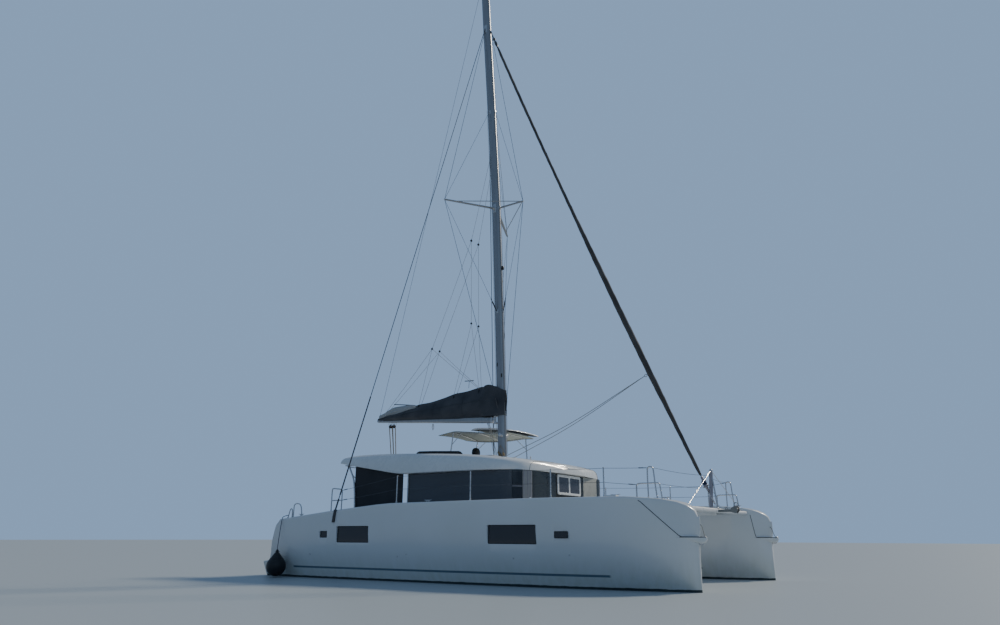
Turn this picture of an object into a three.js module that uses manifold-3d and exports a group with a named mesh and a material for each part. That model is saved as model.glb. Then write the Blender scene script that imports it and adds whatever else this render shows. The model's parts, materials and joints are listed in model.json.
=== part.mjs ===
// Sailing catamaran, afloat, at full size in millimetres.
// +X points to the bow, +Y to port, +Z up. The origin is amidships on the waterline.
import * as THREE from 'three';
import { mergeVertices } from 'three/addons/utils/BufferGeometryUtils.js';
import Module from 'manifold-3d';

const wasm = await Module();
wasm.setup();

// Driving dimensions
const gap = 0.3;                 // between pieces that touch
const running = 6;               // between pieces that move past each other
const hullCentre = 2890;         // each hull's middle, off the boat's centreline
const innerHalf = 620;           // hull's inner wall, from the hull's middle
const stemX = 6260;
const noseX = 6400;
const ledgeZ = 1090;             // top of the step in the bow
const soleZ = 1000;              // cockpit and saloon floor
const deckZ = 1860;              // foredeck
const bridgeBottom = 780;
const bridgeAft = -5300;
const bridgeFront = 2900;
const saloonAft = -2000;
const saloonFront = 1640;
const saloonHalf = 2450;
const wallThick = 50;
const roofEdgeZ = 2720;          // lower edge of the coachroof over the saloon
const roofAft = -4950;
const roofFront = 1800;
const beamX = 5720;              // forward crossbeam
const beamZ = 1735;
const beamRadius = 78;
const mastTopZ = 20500;
const houndsZ = 18300;
const spreaderZ = 11300;
const boomPivot = [-790, 0, 4440];
const boomEndX = -5450;
const helm = { x0: -3400, x1: -2120, y0: 470, y1: 1950, floor: 2250, wheelZ: 3130, wheelY: 1210 };
const shaft = { x: -4560, z: -820 };
const rudderX = -5450;

// Curves along the hull, each a short table of x and a value
const smooth = (rows) => {
  const inner = new THREE.CubicInterpolant(rows.map((r) => r[0]), rows.map((r) => r[1]), 1);
  return (x) => inner.evaluate(x)[0];
};
const straight = (rows) => {
  const inner = new THREE.LinearInterpolant(rows.map((r) => r[0]), rows.map((r) => r[1]), 1);
  return (x) => inner.evaluate(x)[0];
};
const deckHalf = smooth([[-6400, 800], [-5500, 880], [-4200, 935], [-2000, 960], [1500, 960], [3000, 925],
  [4200, 835], [5130, 680], [5700, 480], [6010, 330], [6260, 100]]);
const waterHalf = smooth([[-6400, 430], [-5000, 560], [-2000, 620], [1000, 610], [2800, 520], [4200, 370],
  [5400, 190], [6260, 30]]);
const keelDepth = smooth([[-6400, 40], [-5500, -150], [-4200, -400], [-2000, -590], [500, -650], [3000, -600],
  [5000, -460], [6000, -330], [6260, -210]]);
const topHeight = straight([[-6400, 380], [-6100, 430], [-5960, 680], [-5870, 980], [-5710, 1400], [-5560, 1540],
  [-5330, 1560], [-3970, 1690], [-3570, 1730], [-1910, 1865], [-1430, 1890], [1030, 1905], [2770, 1920],
  [4890, 1915], [5350, 1885], [5620, 1860], [5890, 1800], [6060, 1730], [6200, 1630], [6260, 1500]]);
const hullStations = [-6400, -6100, -5960, -5870, -5710, -5560, -5000, -4200, -3200, -2000, -600, 1000, 2200,
  3000, 3700, 4300, 4800, 5130, 5350, 5620, 5760, 5860, 5950, 6010, 6080, 6150, 6210, 6260];
const creaseOuter = { x0: 5130, z0: 1860, x1: 6010 };
const creaseInner = { x0: 5860, z0: 1790, x1: 5950 };

// Colours
const paint = (color, roughness, metalness = 0, opacity = 1) =>
  new THREE.MeshStandardMaterial({ color, roughness, metalness, opacity, transparent: opacity < 1 });
const white = paint(0xe9ecec, 0.3);
const alloy = paint(0xb9bec3, 0.4, 0.9);
const steel = paint(0xd0d4d8, 0.2, 1);
const glass = paint(0x1b2228, 0.08, 0, 0.5);
const canvas = paint(0x23272c, 0.9);
const awning = paint(0xcfd3cb, 0.85);
const netting = paint(0xdadcda, 0.9);
const mesh = paint(0x202226, 0.9);
const rubber = paint(0x15161a, 0.6);
const bronze = paint(0x9a7f45, 0.35, 0.9);
const castIron = paint(0x6f7478, 0.7, 0.4);
const teak = paint(0x9a7650, 0.6);
const rope = paint(0x1d2a44, 0.9);
const cushion = paint(0xb9b6ac, 0.9);

// Solids
const solid = (geometry) => {
  const bare = geometry.clone();
  for (const name of Object.keys(bare.attributes)) {
    if (name !== 'position') bare.deleteAttribute(name);
  }
  const merged = mergeVertices(bare, 0.01);
  return new wasm.Manifold(new wasm.Mesh({
    numProp: 3,
    vertProperties: new Float32Array(merged.attributes.position.array),
    triVerts: new Uint32Array(merged.index.array),
  }));
};

const geometryOf = (body) => {
  const data = body.getMesh();
  const geometry = new THREE.BufferGeometry();
  geometry.setAttribute('position', new THREE.BufferAttribute(new Float32Array(data.vertProperties), 3));
  geometry.setIndex(new THREE.BufferAttribute(new Uint32Array(data.triVerts), 1));
  geometry.computeVertexNormals();
  return geometry;
};

const join = (...bodies) => bodies.reduce((a, b) => a.add(b));
const box = (x0, x1, y0, y1, z0, z1) => {
  const shape = new THREE.BoxGeometry(x1 - x0, y1 - y0, z1 - z0);
  shape.translate((x0 + x1) / 2, (y0 + y1) / 2, (z0 + z1) / 2);
  return solid(shape);
};
const ball = (centre, radius, across = 12, up = 8) => {
  const shape = new THREE.SphereGeometry(radius, across, up);
  shape.rotateX(Math.PI / 2);
  shape.translate(...centre);
  return solid(shape);
};

// A round rod from one point to another, tapered where the second radius is given
const rod = (from, to, radius, sides = 8, radiusTo = radius) => {
  const a = new THREE.Vector3(...from);
  const b = new THREE.Vector3(...to);
  const shape = new THREE.CylinderGeometry(radiusTo, radius, a.distanceTo(b), sides);
  shape.applyQuaternion(new THREE.Quaternion().setFromUnitVectors(
    new THREE.Vector3(0, 1, 0), b.clone().sub(a).normalize()));
  const middle = a.add(b).multiplyScalar(0.5);
  shape.translate(middle.x, middle.y, middle.z);
  return solid(shape);
};
// Straight lengths end to end, and a tube bent smoothly through its points
const run = (points, radius, sides = 6) => join(...points.slice(1).map(
  (to, i) => rod(points[i], to, radius, sides)));
const bent = (points, radius, sides = 8, steps = 12) => {
  const ring = new THREE.Shape(Array.from({ length: sides }, (_, i) => new THREE.Vector2(
    radius * Math.cos(i * 2 * Math.PI / sides), radius * Math.sin(i * 2 * Math.PI / sides))));
  const path = new THREE.CatmullRomCurve3(points.map((p) => new THREE.Vector3(...p)), false, 'centripetal');
  return solid(new THREE.ExtrudeGeometry(ring, { steps, extrudePath: path }));
};

// Skin over rings that all have the same number of points, closed at both ends
const loft = (rings) => {
  const count = rings[0].length;
  const points = rings.flat();
  const faces = [];
  for (let i = 0; i + 1 < rings.length; i += 1) {
    for (let j = 0; j < count; j += 1) {
      const a = i * count + j;
      const b = i * count + ((j + 1) % count);
      faces.push(a, b, a + count, b, b + count, a + count);
    }
  }
  for (const [ring, first] of [[rings[0], 0], [rings[rings.length - 1], (rings.length - 1) * count]]) {
    const middle = [0, 1, 2].map((k) => ring.reduce((sum, p) => sum + p[k], 0) / count);
    points.push(middle);
    for (let j = 0; j < count; j += 1) {
      const a = first + j;
      const b = first + ((j + 1) % count);
      if (first === 0) faces.push(b, a, points.length - 1);
      else faces.push(a, b, points.length - 1);
    }
  }
  const shape = new THREE.BufferGeometry();
  shape.setAttribute('position', new THREE.Float32BufferAttribute(points.flat(), 3));
  shape.setIndex(faces);
  const body = solid(shape);
  return body.volume() > 0 ? body : solid(shape.setIndex(faces.reverse()));
};

// A plate whose outline is drawn on one plane and pushed along the third axis
const plate = (outline, axis, from, to) => {
  const shape = new THREE.Shape(outline.map(([u, v]) => new THREE.Vector2(u, v)));
  const body = new THREE.ExtrudeGeometry(shape, { depth: to - from, bevelEnabled: false });
  const basis = new THREE.Matrix4();
  if (axis === 'z') basis.makeTranslation(0, 0, from);
  if (axis === 'y') basis.set(1, 0, 0, 0, 0, 0, 1, from, 0, 1, 0, 0, 0, 0, 0, 1);
  if (axis === 'x') basis.set(0, 0, 1, from, 1, 0, 0, 0, 0, 1, 0, 0, 0, 0, 0, 1);
  body.applyMatrix4(basis);
  const made = solid(body);
  if (made.volume() > 0) return made;
  const turned = mergeVertices(body.deleteAttribute('normal').deleteAttribute('uv'), 0.01);
  turned.setIndex([...turned.index.array].reverse());
  return solid(turned);
};

const mirrored = (body) => body.mirror([0, 1, 0]);
const sides = [{ name: 'starboard', sign: -1 }, { name: 'port', sign: 1 }];
const onSide = (body, sign) => (sign > 0 ? body : mirrored(body));

const boat = new THREE.Group();
const made = {};
const part = (name, body, material) => {
  const piece = new THREE.Mesh(geometryOf(body), material);
  piece.name = name;
  made[name] = body;
  boat.add(piece);
  return body;
};
// Cuts a piece clear of the one that it stands on
const seatedOn = (body, below, direction = [0, 0, 1]) =>
  body.subtract(below.translate(direction.map((d) => d * gap))).subtract(below);

// Hull: width at a height, drawn in at the bow above each crease
const hullHalfAt = (x, z) => {
  const deck = deckHalf(x);
  const water = waterHalf(x);
  const rise = Math.min(Math.max(z / 1300, 0), 1);
  return water + (deck - water) * Math.sin(rise * Math.PI / 2) ** 0.9;
};
const facetHalfAt = (x, z, crease) => {
  const slope = (crease.z0 - ledgeZ) / (crease.x1 - crease.x0);
  const start = Math.min(crease.x0 + (crease.z0 - z) / slope, crease.x1);
  if (x <= start) return hullHalfAt(x, z);
  const width = hullHalfAt(start, z);
  return width + (30 - width) * (x - start) / (stemX - start);
};
const creaseHeight = (x, crease, top) => {
  if (x <= crease.x0) return top - 70;
  const slope = (crease.z0 - ledgeZ) / (crease.x1 - crease.x0);
  return Math.max(Math.min(top - 70, crease.z0 - (x - crease.x0) * slope), ledgeZ);
};

// Points from the keel up one side, as [distance from the hull's middle, height]
const hullSide = (x, crease, limit) => {
  const top = topHeight(x);
  const depth = keelDepth(x);
  const water = waterHalf(x);
  const bend = creaseHeight(x, crease, top);
  const width = (z) => Math.min(hullHalfAt(x, z), limit);
  const facet = (z) => Math.min(facetHalfAt(x, z, crease), limit);
  const lower = [0.2, 0.45, 0.8].map((f) => f * Math.min(bend, 1200));
  return [
    [water * 0.45, depth * 0.9],
    [water * 0.85, depth * 0.45],
    [water, Math.min(0, lower[0] - 20)],
    ...lower.map((z) => [width(z), z]),
    [width(bend - 4), bend - 4],
    [facet(bend), bend],
    [facet((bend + top) / 2), (bend + top) / 2],
    [Math.max(facet(top - 35), 30), top - 35],
    [Math.max(facet(top) - 35, 15), top],
  ];
};
const hullShell = () => loft(hullStations.map((x) => {
  const outer = hullSide(x, creaseOuter, Infinity);
  const inner = hullSide(x, creaseInner, innerHalf);
  return [
    [0, keelDepth(x)],
    ...outer,
    ...inner.reverse().map(([t, z]) => [-t, z]),
  ].map(([t, z]) => [x, hullCentre + t, z]);
}));

// Open steps from the side deck down to the bathing platform, as [aft end, front end, height]
const sternSteps = [
  [-6500, -5890, 380], [-5891, -5610, 660], [-5611, -5330, 940], [-5331, -5050, 1220], [-5051, -3700, 1500]];
const stepSides = [2470, 3440];
const engineWell = { x0: -4760, x1: -3960, y0: 2640, y1: 3360, bottom: 40 };
const lidThick = 40;
const hullWindows = [
  // aft end, front end, sill, head
  [-3890, -3600, 1040, 1210], [-3260, -2120, 920, 1335], [1550, 2840, 920, 1340], [3290, 3630, 1050, 1200]];
const windowPlane = 3775;

const makeHull = () => {
  const nose = loft([[ledgeZ - 130, 30, 30], [ledgeZ - 60, 110, 60], [ledgeZ - 0.5, noseX - stemX, 90]].map(
    ([z, reach, half]) => [
      [stemX - 60, hullCentre + half, z], [stemX + reach * 0.7, hullCentre + half * 0.55, z],
      [stemX + reach, hullCentre, z], [stemX + reach * 0.7, hullCentre - half * 0.55, z],
      [stemX - 60, hullCentre - half, z]]));
  let hull = hullShell().add(nose);
  for (const [x0, x1, z] of sternSteps) {
    hull = hull.subtract(box(x0, x1, stepSides[0], stepSides[1], z, 2500));
  }
  const well = engineWell;
  hull = hull.subtract(box(well.x0, well.x1, well.y0, well.y1, well.bottom, 1700));
  hull = hull.subtract(box(well.x0 - 40, well.x1 + 40, well.y0 - 40, well.y1 + 40, 1500 - lidThick, 1700));
  for (const [x0, x1, z0, z1] of hullWindows) {
    hull = hull.subtract(box(x0, x1, windowPlane, 4200, z0, z1));
  }
  const rudderBoss = rod([rudderX, hullCentre, 60], [rudderX, hullCentre, -290], 75, 16);
  const driveBoss = box(shaft.x - 170, shaft.x + 260, hullCentre - 110, hullCentre + 110, -430, -100);
  return join(hull, rudderBoss, driveBoss);
};
const hullPort = makeHull();
for (const { name, sign } of sides) part(`hull_${name}`, onSide(hullPort, sign), white);

// Low-aspect keel under each hull: rounded nose, straight run, fine tail
const makeKeel = () => {
  const rows = [[-700, -1350, 1150, 90], [-1250, -1150, 850, 70]];
  const ring = ([z, aft, front, half]) => [
    [aft, 0], [aft + 500, half * 0.75], [front - 700, half], [front - 150, half * 0.6], [front, 0],
    [front - 150, -half * 0.6], [front - 700, -half], [aft + 500, -half * 0.75],
  ].map(([x, t]) => [x, hullCentre + t, z]);
  const upper = ring([-500, -1400, 1250, 95]);
  return loft([upper, ...rows.map(ring)]);
};
for (const { name, sign } of sides) {
  part(`keel_${name}`, seatedOn(onSide(makeKeel(), sign), made[`hull_${name}`], [0, 0, -1]), white);
}

// Bridgedeck between the hulls: floor slab, aft beam and the decked nacelle ahead of the saloon
const sideFace = hullCentre - innerHalf - gap;
const foredeckLocker = { x0: 2080, x1: 2700, y: 1150, half: 520 };
const makeBridgedeck = () => {
  const profile = [
    [bridgeAft, bridgeBottom + 60], [bridgeAft + 200, bridgeBottom], [1600, bridgeBottom], [2600, 980],
    [bridgeFront, 1250], [bridgeFront, deckZ], [saloonFront + 90, deckZ], [saloonFront - 60, soleZ],
    [bridgeAft, soleZ]];
  const locker = foredeckLocker;
  const bench = join(
    box(bridgeAft + 20, bridgeAft + 720, -1500, 1500, soleZ - 10, 1420),
    box(bridgeAft + 20, bridgeAft + 140, -1500, 1500, 1400, 1860));
  let body = plate(profile, 'y', -sideFace, sideFace).add(bench);
  for (const sign of [-1, 1]) {
    const y = sign * locker.y;
    body = body.subtract(box(locker.x0, locker.x1, y - locker.half, y + locker.half, 1300, 2000));
    body = body.subtract(box(locker.x0 - 30, locker.x1 + 30, y - locker.half - 30, y + locker.half + 30,
      deckZ - 35, 2000));
  }
  return body;
};
part('bridgedeck', makeBridgedeck(), white);

// Saloon: a wall round its sides and front with the windows cut
const saloonPlan = (inset) => {
  const half = saloonHalf - inset;
  const front = saloonFront - inset;
  const radius = 700 - inset;
  const points = [[saloonAft + gap, half]];
  for (let i = 0; i <= 6; i += 1) {
    const angle = (Math.PI / 2) * (1 - i / 6);
    points.push([front - radius + radius * Math.cos(angle), half - radius + radius * Math.sin(angle)]);
  }
  return [...points, ...points.slice().reverse().map(([x, y]) => [x, -y])];
};
const windowSill = 1985;
const windowHead = 2655;
const saloonWindows = [
  // name, x from, x to, y from, y to
  ['side_window_starboard', -1800, 900, -2600, -2300],
  ['side_window_port', -1800, 900, 2300, 2600],
  ['front_window_starboard', 1010, 1800, -2290, -720],
  ['front_window_port', 1010, 1800, 720, 2290],
  ['front_window_centre', 1400, 1800, -620, 620]];
const makeSaloon = () => {
  const wall = plate(saloonPlan(0), 'z', 1925, roofEdgeZ - gap)
    .subtract(plate(saloonPlan(wallThick), 'z', 1900, roofEdgeZ + 10));
  const windows = saloonWindows.map(([, x0, x1, y0, y1]) => box(x0, x1, y0, y1, windowSill, windowHead));
  return windows.reduce((body, cut) => body.subtract(cut), wall);
};
// Plinth that carries the wall on the decks
const makePlinth = () => plate(saloonPlan(-20), 'z', 1850, 1930)
  .subtract(plate(saloonPlan(wallThick + 20), 'z', 1800, 2000));
const decks = join(made.hull_starboard, made.hull_port);
part('saloon_walls', seatedOn(seatedOn(makeSaloon().add(makePlinth()), decks), made.bridgedeck), white);

// Aft bulkhead between cockpit and saloon, with the door's opening and a fixed pane beside it
const doorway = { y0: -480, y1: 350, top: 2780 };
const aftPane = { y0: -1350, y1: -560, z0: 1250, z1: 2700 };
const bulkheadTop = 2880;
const makeBulkhead = () => {
  const aft = saloonAft - wallThick;
  const half = sideFace - 1;
  return box(aft, saloonAft, -half, half, soleZ + gap, bulkheadTop)
    .add(box(aft, saloonAft, -saloonHalf, saloonHalf, 1925, roofEdgeZ - gap))
    .subtract(box(aft - 50, saloonAft + 50, doorway.y0, doorway.y1, soleZ - 100, doorway.top))
    .subtract(box(aft - 50, saloonAft + 50, aftPane.y0, aftPane.y1, aftPane.z0, aftPane.z1));
};
part('aft_bulkhead', seatedOn(makeBulkhead(), decks), white);

const paneBand = (outer, inner) => plate(saloonPlan(outer), 'z', windowSill + gap, windowHead - gap)
  .subtract(plate(saloonPlan(inner), 'z', 1900, 2800));
for (const [name, x0, x1, y0, y1] of saloonWindows) {
  const reach = box(x0 + gap, x1 - gap, y0 + gap, y1 - gap, windowSill, windowHead);
  part(name, paneBand(12, 30).intersect(reach), glass);
}

// Sliding door: a glazed frame that runs behind the fixed side of the bulkhead
const doorThick = 40;
const makeDoor = () => {
  const y0 = doorway.y0 - 15;
  const y1 = doorway.y1 + 15;
  const x = saloonAft - wallThick - running;
  return box(x - doorThick, x, y0, y1, soleZ + gap, doorway.top + 15)
    .subtract(box(x - 100, x + 10, y0 + 60, y1 - 60, soleZ + 260, doorway.top - 110));
};
part('saloon_door', makeDoor(), alloy);
part('aft_window', box(saloonAft - 35, saloonAft - 15, aftPane.y0 + gap, aftPane.y1 - gap,
  aftPane.z0 + gap, aftPane.z1 - gap), glass);

// Coachroof: plan shape, its lower and upper edge heights, and a recess for the ceiling
const roofPlanHalf = smooth([[roofAft, 1900], [-4700, 2380], [-4200, 2580], [-3200, 2690], [-2000, 2720],
  [300, 2700], [900, 2580], [1300, 2350], [1600, 1850], [roofFront, 700]]);
const roofLower = straight([[roofAft, 3175], [-4430, 3100], [-3920, 3010], [-2360, 2750], [-2060, roofEdgeZ],
  [roofFront, roofEdgeZ]]);
const roofUpper = smooth([[roofAft, 3235], [-4460, 3290], [-3250, 3310], [-1250, 3230], [80, 3140], [1020, 3040],
  [1600, 2945], [roofFront, 2860]]);
const roofStations = [roofAft, -4850, -4700, -4430, -3920, -3200, -2360, -2060, -1250, -500, 300, 700, 1000, 1300,
  1500, 1650, 1740, roofFront];
const roofRing = (x) => {
  const half = roofPlanHalf(x);
  const low = roofLower(x);
  const high = roofUpper(x);
  const side = [[half - 150, low], [half, low + (high - low) * 0.12], [half - 40, low + (high - low) * 0.45],
    [half - 170, high - 20], [half - 320, high + 12], [half * 0.5, high + 45]];
  return [...side, ...side.slice().reverse().map(([y, z]) => [-y, z])].map(([y, z]) => [x, y, z]);
};
const ceilingZ = 2900;
const cockpitCeilingZ = 2990;
const makeRoof = () => {
  const shell = loft(roofStations.map(roofRing));
  const recess = plate(saloonPlan(140).map(([x, y]) => [Math.max(x, saloonAft + 60), y]), 'z', 2600, ceilingZ);
  const well = box(helm.x0 - 60, helm.x1 + 20, helm.y0 - 40, helm.y1 + 40, 2500, 3600);
  const overDoor = box(-2140, saloonAft + 30, -2300, 2300, 2600, 2880 + gap);
  const overCockpit = box(-3900, -2139, -2250, 2250, 2600, cockpitCeilingZ);
  return [recess, well, overDoor, overCockpit].reduce((body, cut) => body.subtract(cut), shell);
};
part('coachroof', makeRoof(), white);

// Stainless posts that carry the roof's aft end, and the mesh curtains beside them
const makePost = () => bent([[-3780, 2640, 1450], [-3830, 2640, 2350], [-4080, 2560, 2900], [-4180, 2540, 3100]],
  24, 8, 10);
for (const { name, sign } of sides) {
  const post = onSide(makePost(), sign);
  const footed = seatedOn(post, made[`hull_${name}`]);
  part(`roof_post_${name}`, seatedOn(footed, made.coachroof, [0, 0, -1]), steel);
}
const curtainOutline = [[-3690, 1690], [-2080, 1800], [-2080, 2790], [-2360, 2820], [-3690, 3040]];
for (const { name, sign } of sides) {
  const cloth = onSide(plate(curtainOutline, 'y', 2590, 2600), sign);
  const footed = seatedOn(cloth, made[`hull_${name}`]);
  part(`side_curtain_${name}`, seatedOn(footed, made.coachroof, [0, 0, -1]), mesh);
}

// Cockpit furniture
part('bench_cushion', box(bridgeAft + 150, bridgeAft + 710, -1480, 1480, 1420 + gap, 1520), cushion);
const makeTable = () => join(
  box(-4150, -3150, -1750, -650, 1700, 1740),
  rod([-3650, -1200, soleZ + gap], [-3650, -1200, 1710], 60, 12),
  rod([-3650, -1200, soleZ + gap], [-3650, -1200, soleZ + 30], 180, 16));
part('cockpit_table', makeTable(), teak);

// Helm: raised floor with a console, wheel, seat and instrument pod
const makeHelm = () => join(
  box(helm.x0, helm.x1, helm.y0, helm.y1, soleZ + gap, helm.floor),
  box(helm.x1 - 280, helm.x1, helm.y0 + 120, helm.y1 - 80, helm.floor - 10, 3420),
  box(helm.x0, helm.x0 + 130, helm.y0 + 150, helm.y1 - 150, helm.floor - 10, 2700),
  box(helm.x0 - 300, helm.x0 + 10, helm.y0 + 150, helm.y0 + 650, soleZ + gap, 1400),
  box(helm.x0 - 150, helm.x0 + 10, helm.y0 + 150, helm.y0 + 650, 1390, 1820));
part('helm_station', makeHelm(), white);
part('helm_seat', join(
  box(helm.x0 - 20, helm.x0 + 420, helm.y0 + 160, helm.y1 - 160, 2700 + gap, 2800),
  box(helm.x0 - 20, helm.x0 + 80, helm.y0 + 160, helm.y1 - 160, 2790, 3150)), cushion);
const wheelX = helm.x1 - 280 - 90;
const makeWheel = () => {
  const rim = new THREE.TorusGeometry(370, 15, 6, 24);
  rim.rotateY(Math.PI / 2);
  rim.translate(wheelX, helm.wheelY, helm.wheelZ);
  const pieces = [solid(rim), rod([helm.x1 - 280 - gap, helm.wheelY, helm.wheelZ],
    [wheelX - 30, helm.wheelY, helm.wheelZ], 34, 12)];
  for (let i = 0; i < 5; i += 1) {
    const angle = i * 2 * Math.PI / 5 + Math.PI / 2;
    pieces.push(rod([wheelX, helm.wheelY, helm.wheelZ],
      [wheelX, helm.wheelY + 370 * Math.cos(angle), helm.wheelZ + 370 * Math.sin(angle)], 10, 6));
  }
  return join(...pieces);
};
part('steering_wheel', makeWheel(), rubber);
part('instrument_pod', loft([[3420 + gap, 90], [3500, 130], [3620, 150], [3720, 110], [3750, 60]].map(
  ([z, r]) => Array.from({ length: 10 }, (_, i) => [
    -2290 + 0.75 * r * Math.cos(i * Math.PI / 5), 1150 + r * Math.sin(i * Math.PI / 5), z]))), rubber);

// Bimini over the helm: canvas on a tube frame that stands on the roof
const bimini = { x0: -3230, x1: -480, y0: 400, y1: 1900, z: 4190 };
const makeBiminiFrame = () => {
  const { x0, x1, y0, y1, z } = bimini;
  const ends = [[x0 + 380, z - 21], [x1 - 300, z - 39]];
  const edges = [y0 + 80, y1 - 80];
  const legs = ends.flatMap(([x, top]) => edges.map((y) => rod([x, y, 3150], [x, y, top], 16)));
  const cross = ends.map(([x, top]) => rod([x, edges[0], top], [x, edges[1], top], 14));
  const along = edges.map((y) => run([[ends[0][0], y, ends[0][1]], [x0 + 500, y, z - 13],
    [x1 - 700, y, z - 13], [ends[1][0], y, ends[1][1]]], 14, 8));
  return join(...legs, ...cross, ...along);
};
part('bimini_frame', seatedOn(makeBiminiFrame(), made.coachroof), steel);
const biminiRing = (x, drop) => {
  const { y0, y1, z } = bimini;
  const middle = (y0 + y1) / 2;
  return [[y0, -20], [middle, 30], [y1, -20], [y1, -52], [middle, -8], [y0, -52]]
    .map(([y, dz]) => [x, y, z + dz - drop + 45]);
};
const biminiCloth = loft([[bimini.x0, 35], [bimini.x0 + 500, 0], [bimini.x1 - 700, 0], [bimini.x1, 45]].map(
  ([x, drop]) => biminiRing(x, drop)));
part('bimini_top', seatedOn(biminiCloth, made.bimini_frame), awning);

// Mast, raked a little aft with some bend towards its head
const mastX = smooth([[3000, -520], [4400, -558], [5900, -600], [9500, -725], [11300, -795], [13500, -920],
  [15800, -1060], [18000, -1205], [19600, -1300], [21000, -1385]]);
const mastRing = (z) => Array.from({ length: 12 }, (_, i) => {
  const angle = i * Math.PI / 6;
  return [mastX(z) + 145 * Math.cos(angle), 88 * Math.sin(angle), z];
});
const mastLevels = [3000, 5000, 8000, 11300, 14000, 17000, mastTopZ];
const mastTube = loft(mastLevels.map(mastRing));
// Gooseneck ears above and below the boom's pin
const goosePin = { low: boomPivot[2] - 80, high: boomPivot[2] + 80, radius: 28 };
const gooseEars = join(
  box(boomPivot[0] - 45, mastX(boomPivot[2]), -45, 45, goosePin.low - 50, goosePin.low - gap),
  box(boomPivot[0] - 45, mastX(boomPivot[2]), -45, 45, goosePin.high + gap, goosePin.high + 50));
part('mast', seatedOn(mastTube, made.coachroof).add(gooseEars), alloy);
const clearOfMast = (body) => body.subtract(loft(mastLevels.map((z) => mastRing(z).map(
  ([x, y, h]) => [mastX(z) + (x - mastX(z)) * 1.003, y * 1.004, h]))));

// Spreaders at one height: two swept aft and one short forward strut, tied at their tips
const spreaderRoot = [mastX(spreaderZ), 0, spreaderZ];
const spreaderTips = [
  { name: 'starboard', at: [-1520, -1780, 11120], root: 42, end: 26 },
  { name: 'port', at: [-1520, 1780, 11120], root: 42, end: 26 },
  { name: 'front', at: [200, 0, 11320], root: 34, end: 22 }];
const tipEye = ({ at }) => {
  const root = new THREE.Vector3(...spreaderRoot);
  const tip = new THREE.Vector3(...at);
  return tip.add(tip.clone().sub(root).setLength(22)).toArray();
};
const front = spreaderTips[2];
const spreaderArms = spreaderTips.map(({ at, root, end }) => rod(spreaderRoot, at, root, 8, end));
const tipTies = spreaderTips.slice(0, 2).map(({ at }) => rod(at, front.at, 9, 6));
const tipHoles = join(...spreaderTips.map((tip) => ball(tipEye(tip), 20 + gap, 10, 8)));
part('spreaders', clearOfMast(join(...spreaderArms, ...tipTies)).subtract(tipHoles), alloy);

// Diamond wire round each spreader's tip, to the mast above and below
const wireRadius = 7;
for (const tip of spreaderTips) {
  const eye = tipEye(tip);
  const upper = rod([mastX(houndsZ), 0, houndsZ - 120], eye, wireRadius, 6);
  const lower = rod([mastX(4700), 0, 4700], eye, wireRadius, 6);
  const wires = join(upper, lower, ball(eye, 20, 10, 8));
  part(`diamond_${tip.name}`, clearOfMast(wires).subtract(made.spreaders), steel);
}

// Forestay with its furled sail, drum and lower fork on the crossbeam
const stayTop = [mastX(houndsZ) + 100, 0, houndsZ];
const stayFoot = [beamX - 40, 0, beamZ + beamRadius + 60];
part('crossbeam', seatedOn(rod([beamX, -2560, beamZ], [beamX, 2560, beamZ], beamRadius, 16),
  decks, [0, 0, 0]).subtract(decks.translate([-gap, 0, 0])).subtract(decks.translate([0, -gap, 0]))
  .subtract(decks.translate([0, gap, 0])).subtract(decks.translate([gap, 0, 0])), alloy);
// How far down the stay, and how thick: bare stay, swivel, rolled sail, drum and fork
const stayRows = [[0, 9], [0.014, 9], [0.015, 56], [0.5, 56], [0.955, 80], [0.956, 18], [0.962, 18], [0.963, 95],
  [0.985, 95], [0.986, 18], [1.006, 18]];
const makeForestay = () => {
  const top = new THREE.Vector3(...stayTop);
  const down = new THREE.Vector3(...stayFoot).sub(top);
  const across = new THREE.Vector3(0, 1, 0);
  const ahead = down.clone().normalize().cross(across);
  return loft(stayRows.map(([share, radius]) => Array.from({ length: 10 }, (_, i) => {
    const angle = i * Math.PI / 5;
    return top.clone().addScaledVector(down, share).addScaledVector(across, radius * Math.cos(angle))
      .addScaledVector(ahead, radius * Math.sin(angle)).toArray();
  })));
};
part('furled_jib', seatedOn(clearOfMast(makeForestay()), made.crossbeam), canvas);

// Striker: a frame over the crossbeam that takes the forestay's pull
const strikerTop = [5640, 0, 2680];
const makeStriker = () => join(
  rod([beamX + 20, 0, beamZ + 60], strikerTop, 30, 10),
  rod([6150, 0, beamZ + 40], strikerTop, 20, 8),
  rod(strikerTop, [beamX, 2150, beamZ + 66], 10, 6),
  rod(strikerTop, [beamX, -2150, beamZ + 66], 10, 6),
  box(beamX + 84, 6200, -55, 55, beamZ - 40, beamZ + 50),
  rod([6170, -70, beamZ + 10], [6170, 70, beamZ + 10], 45, 12));
part('striker', seatedOn(makeStriker(), made.crossbeam).subtract(made.crossbeam.translate([gap, 0, 0]))
  .subtract(made.furled_jib).subtract(made.furled_jib.translate([gap, 0, 0])), steel);

// Centre beam from the nacelle to the crossbeam, with a net each side of it
part('centre_beam', box(bridgeFront + gap, beamX - 40, -70, 70, 1600, 1720)
  .subtract(made.crossbeam).subtract(made.crossbeam.translate([-gap, 0, 0])), white);
const netOutline = [[bridgeFront + gap, 70 + gap], [beamX - 85, 70 + gap], [beamX - 85, 2240],
  [bridgeFront + gap, sideFace - 2]];
for (const { name, sign } of sides) {
  part(`trampoline_${name}`, onSide(plate(netOutline, 'z', 1690, 1702), sign), netting);
}

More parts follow.
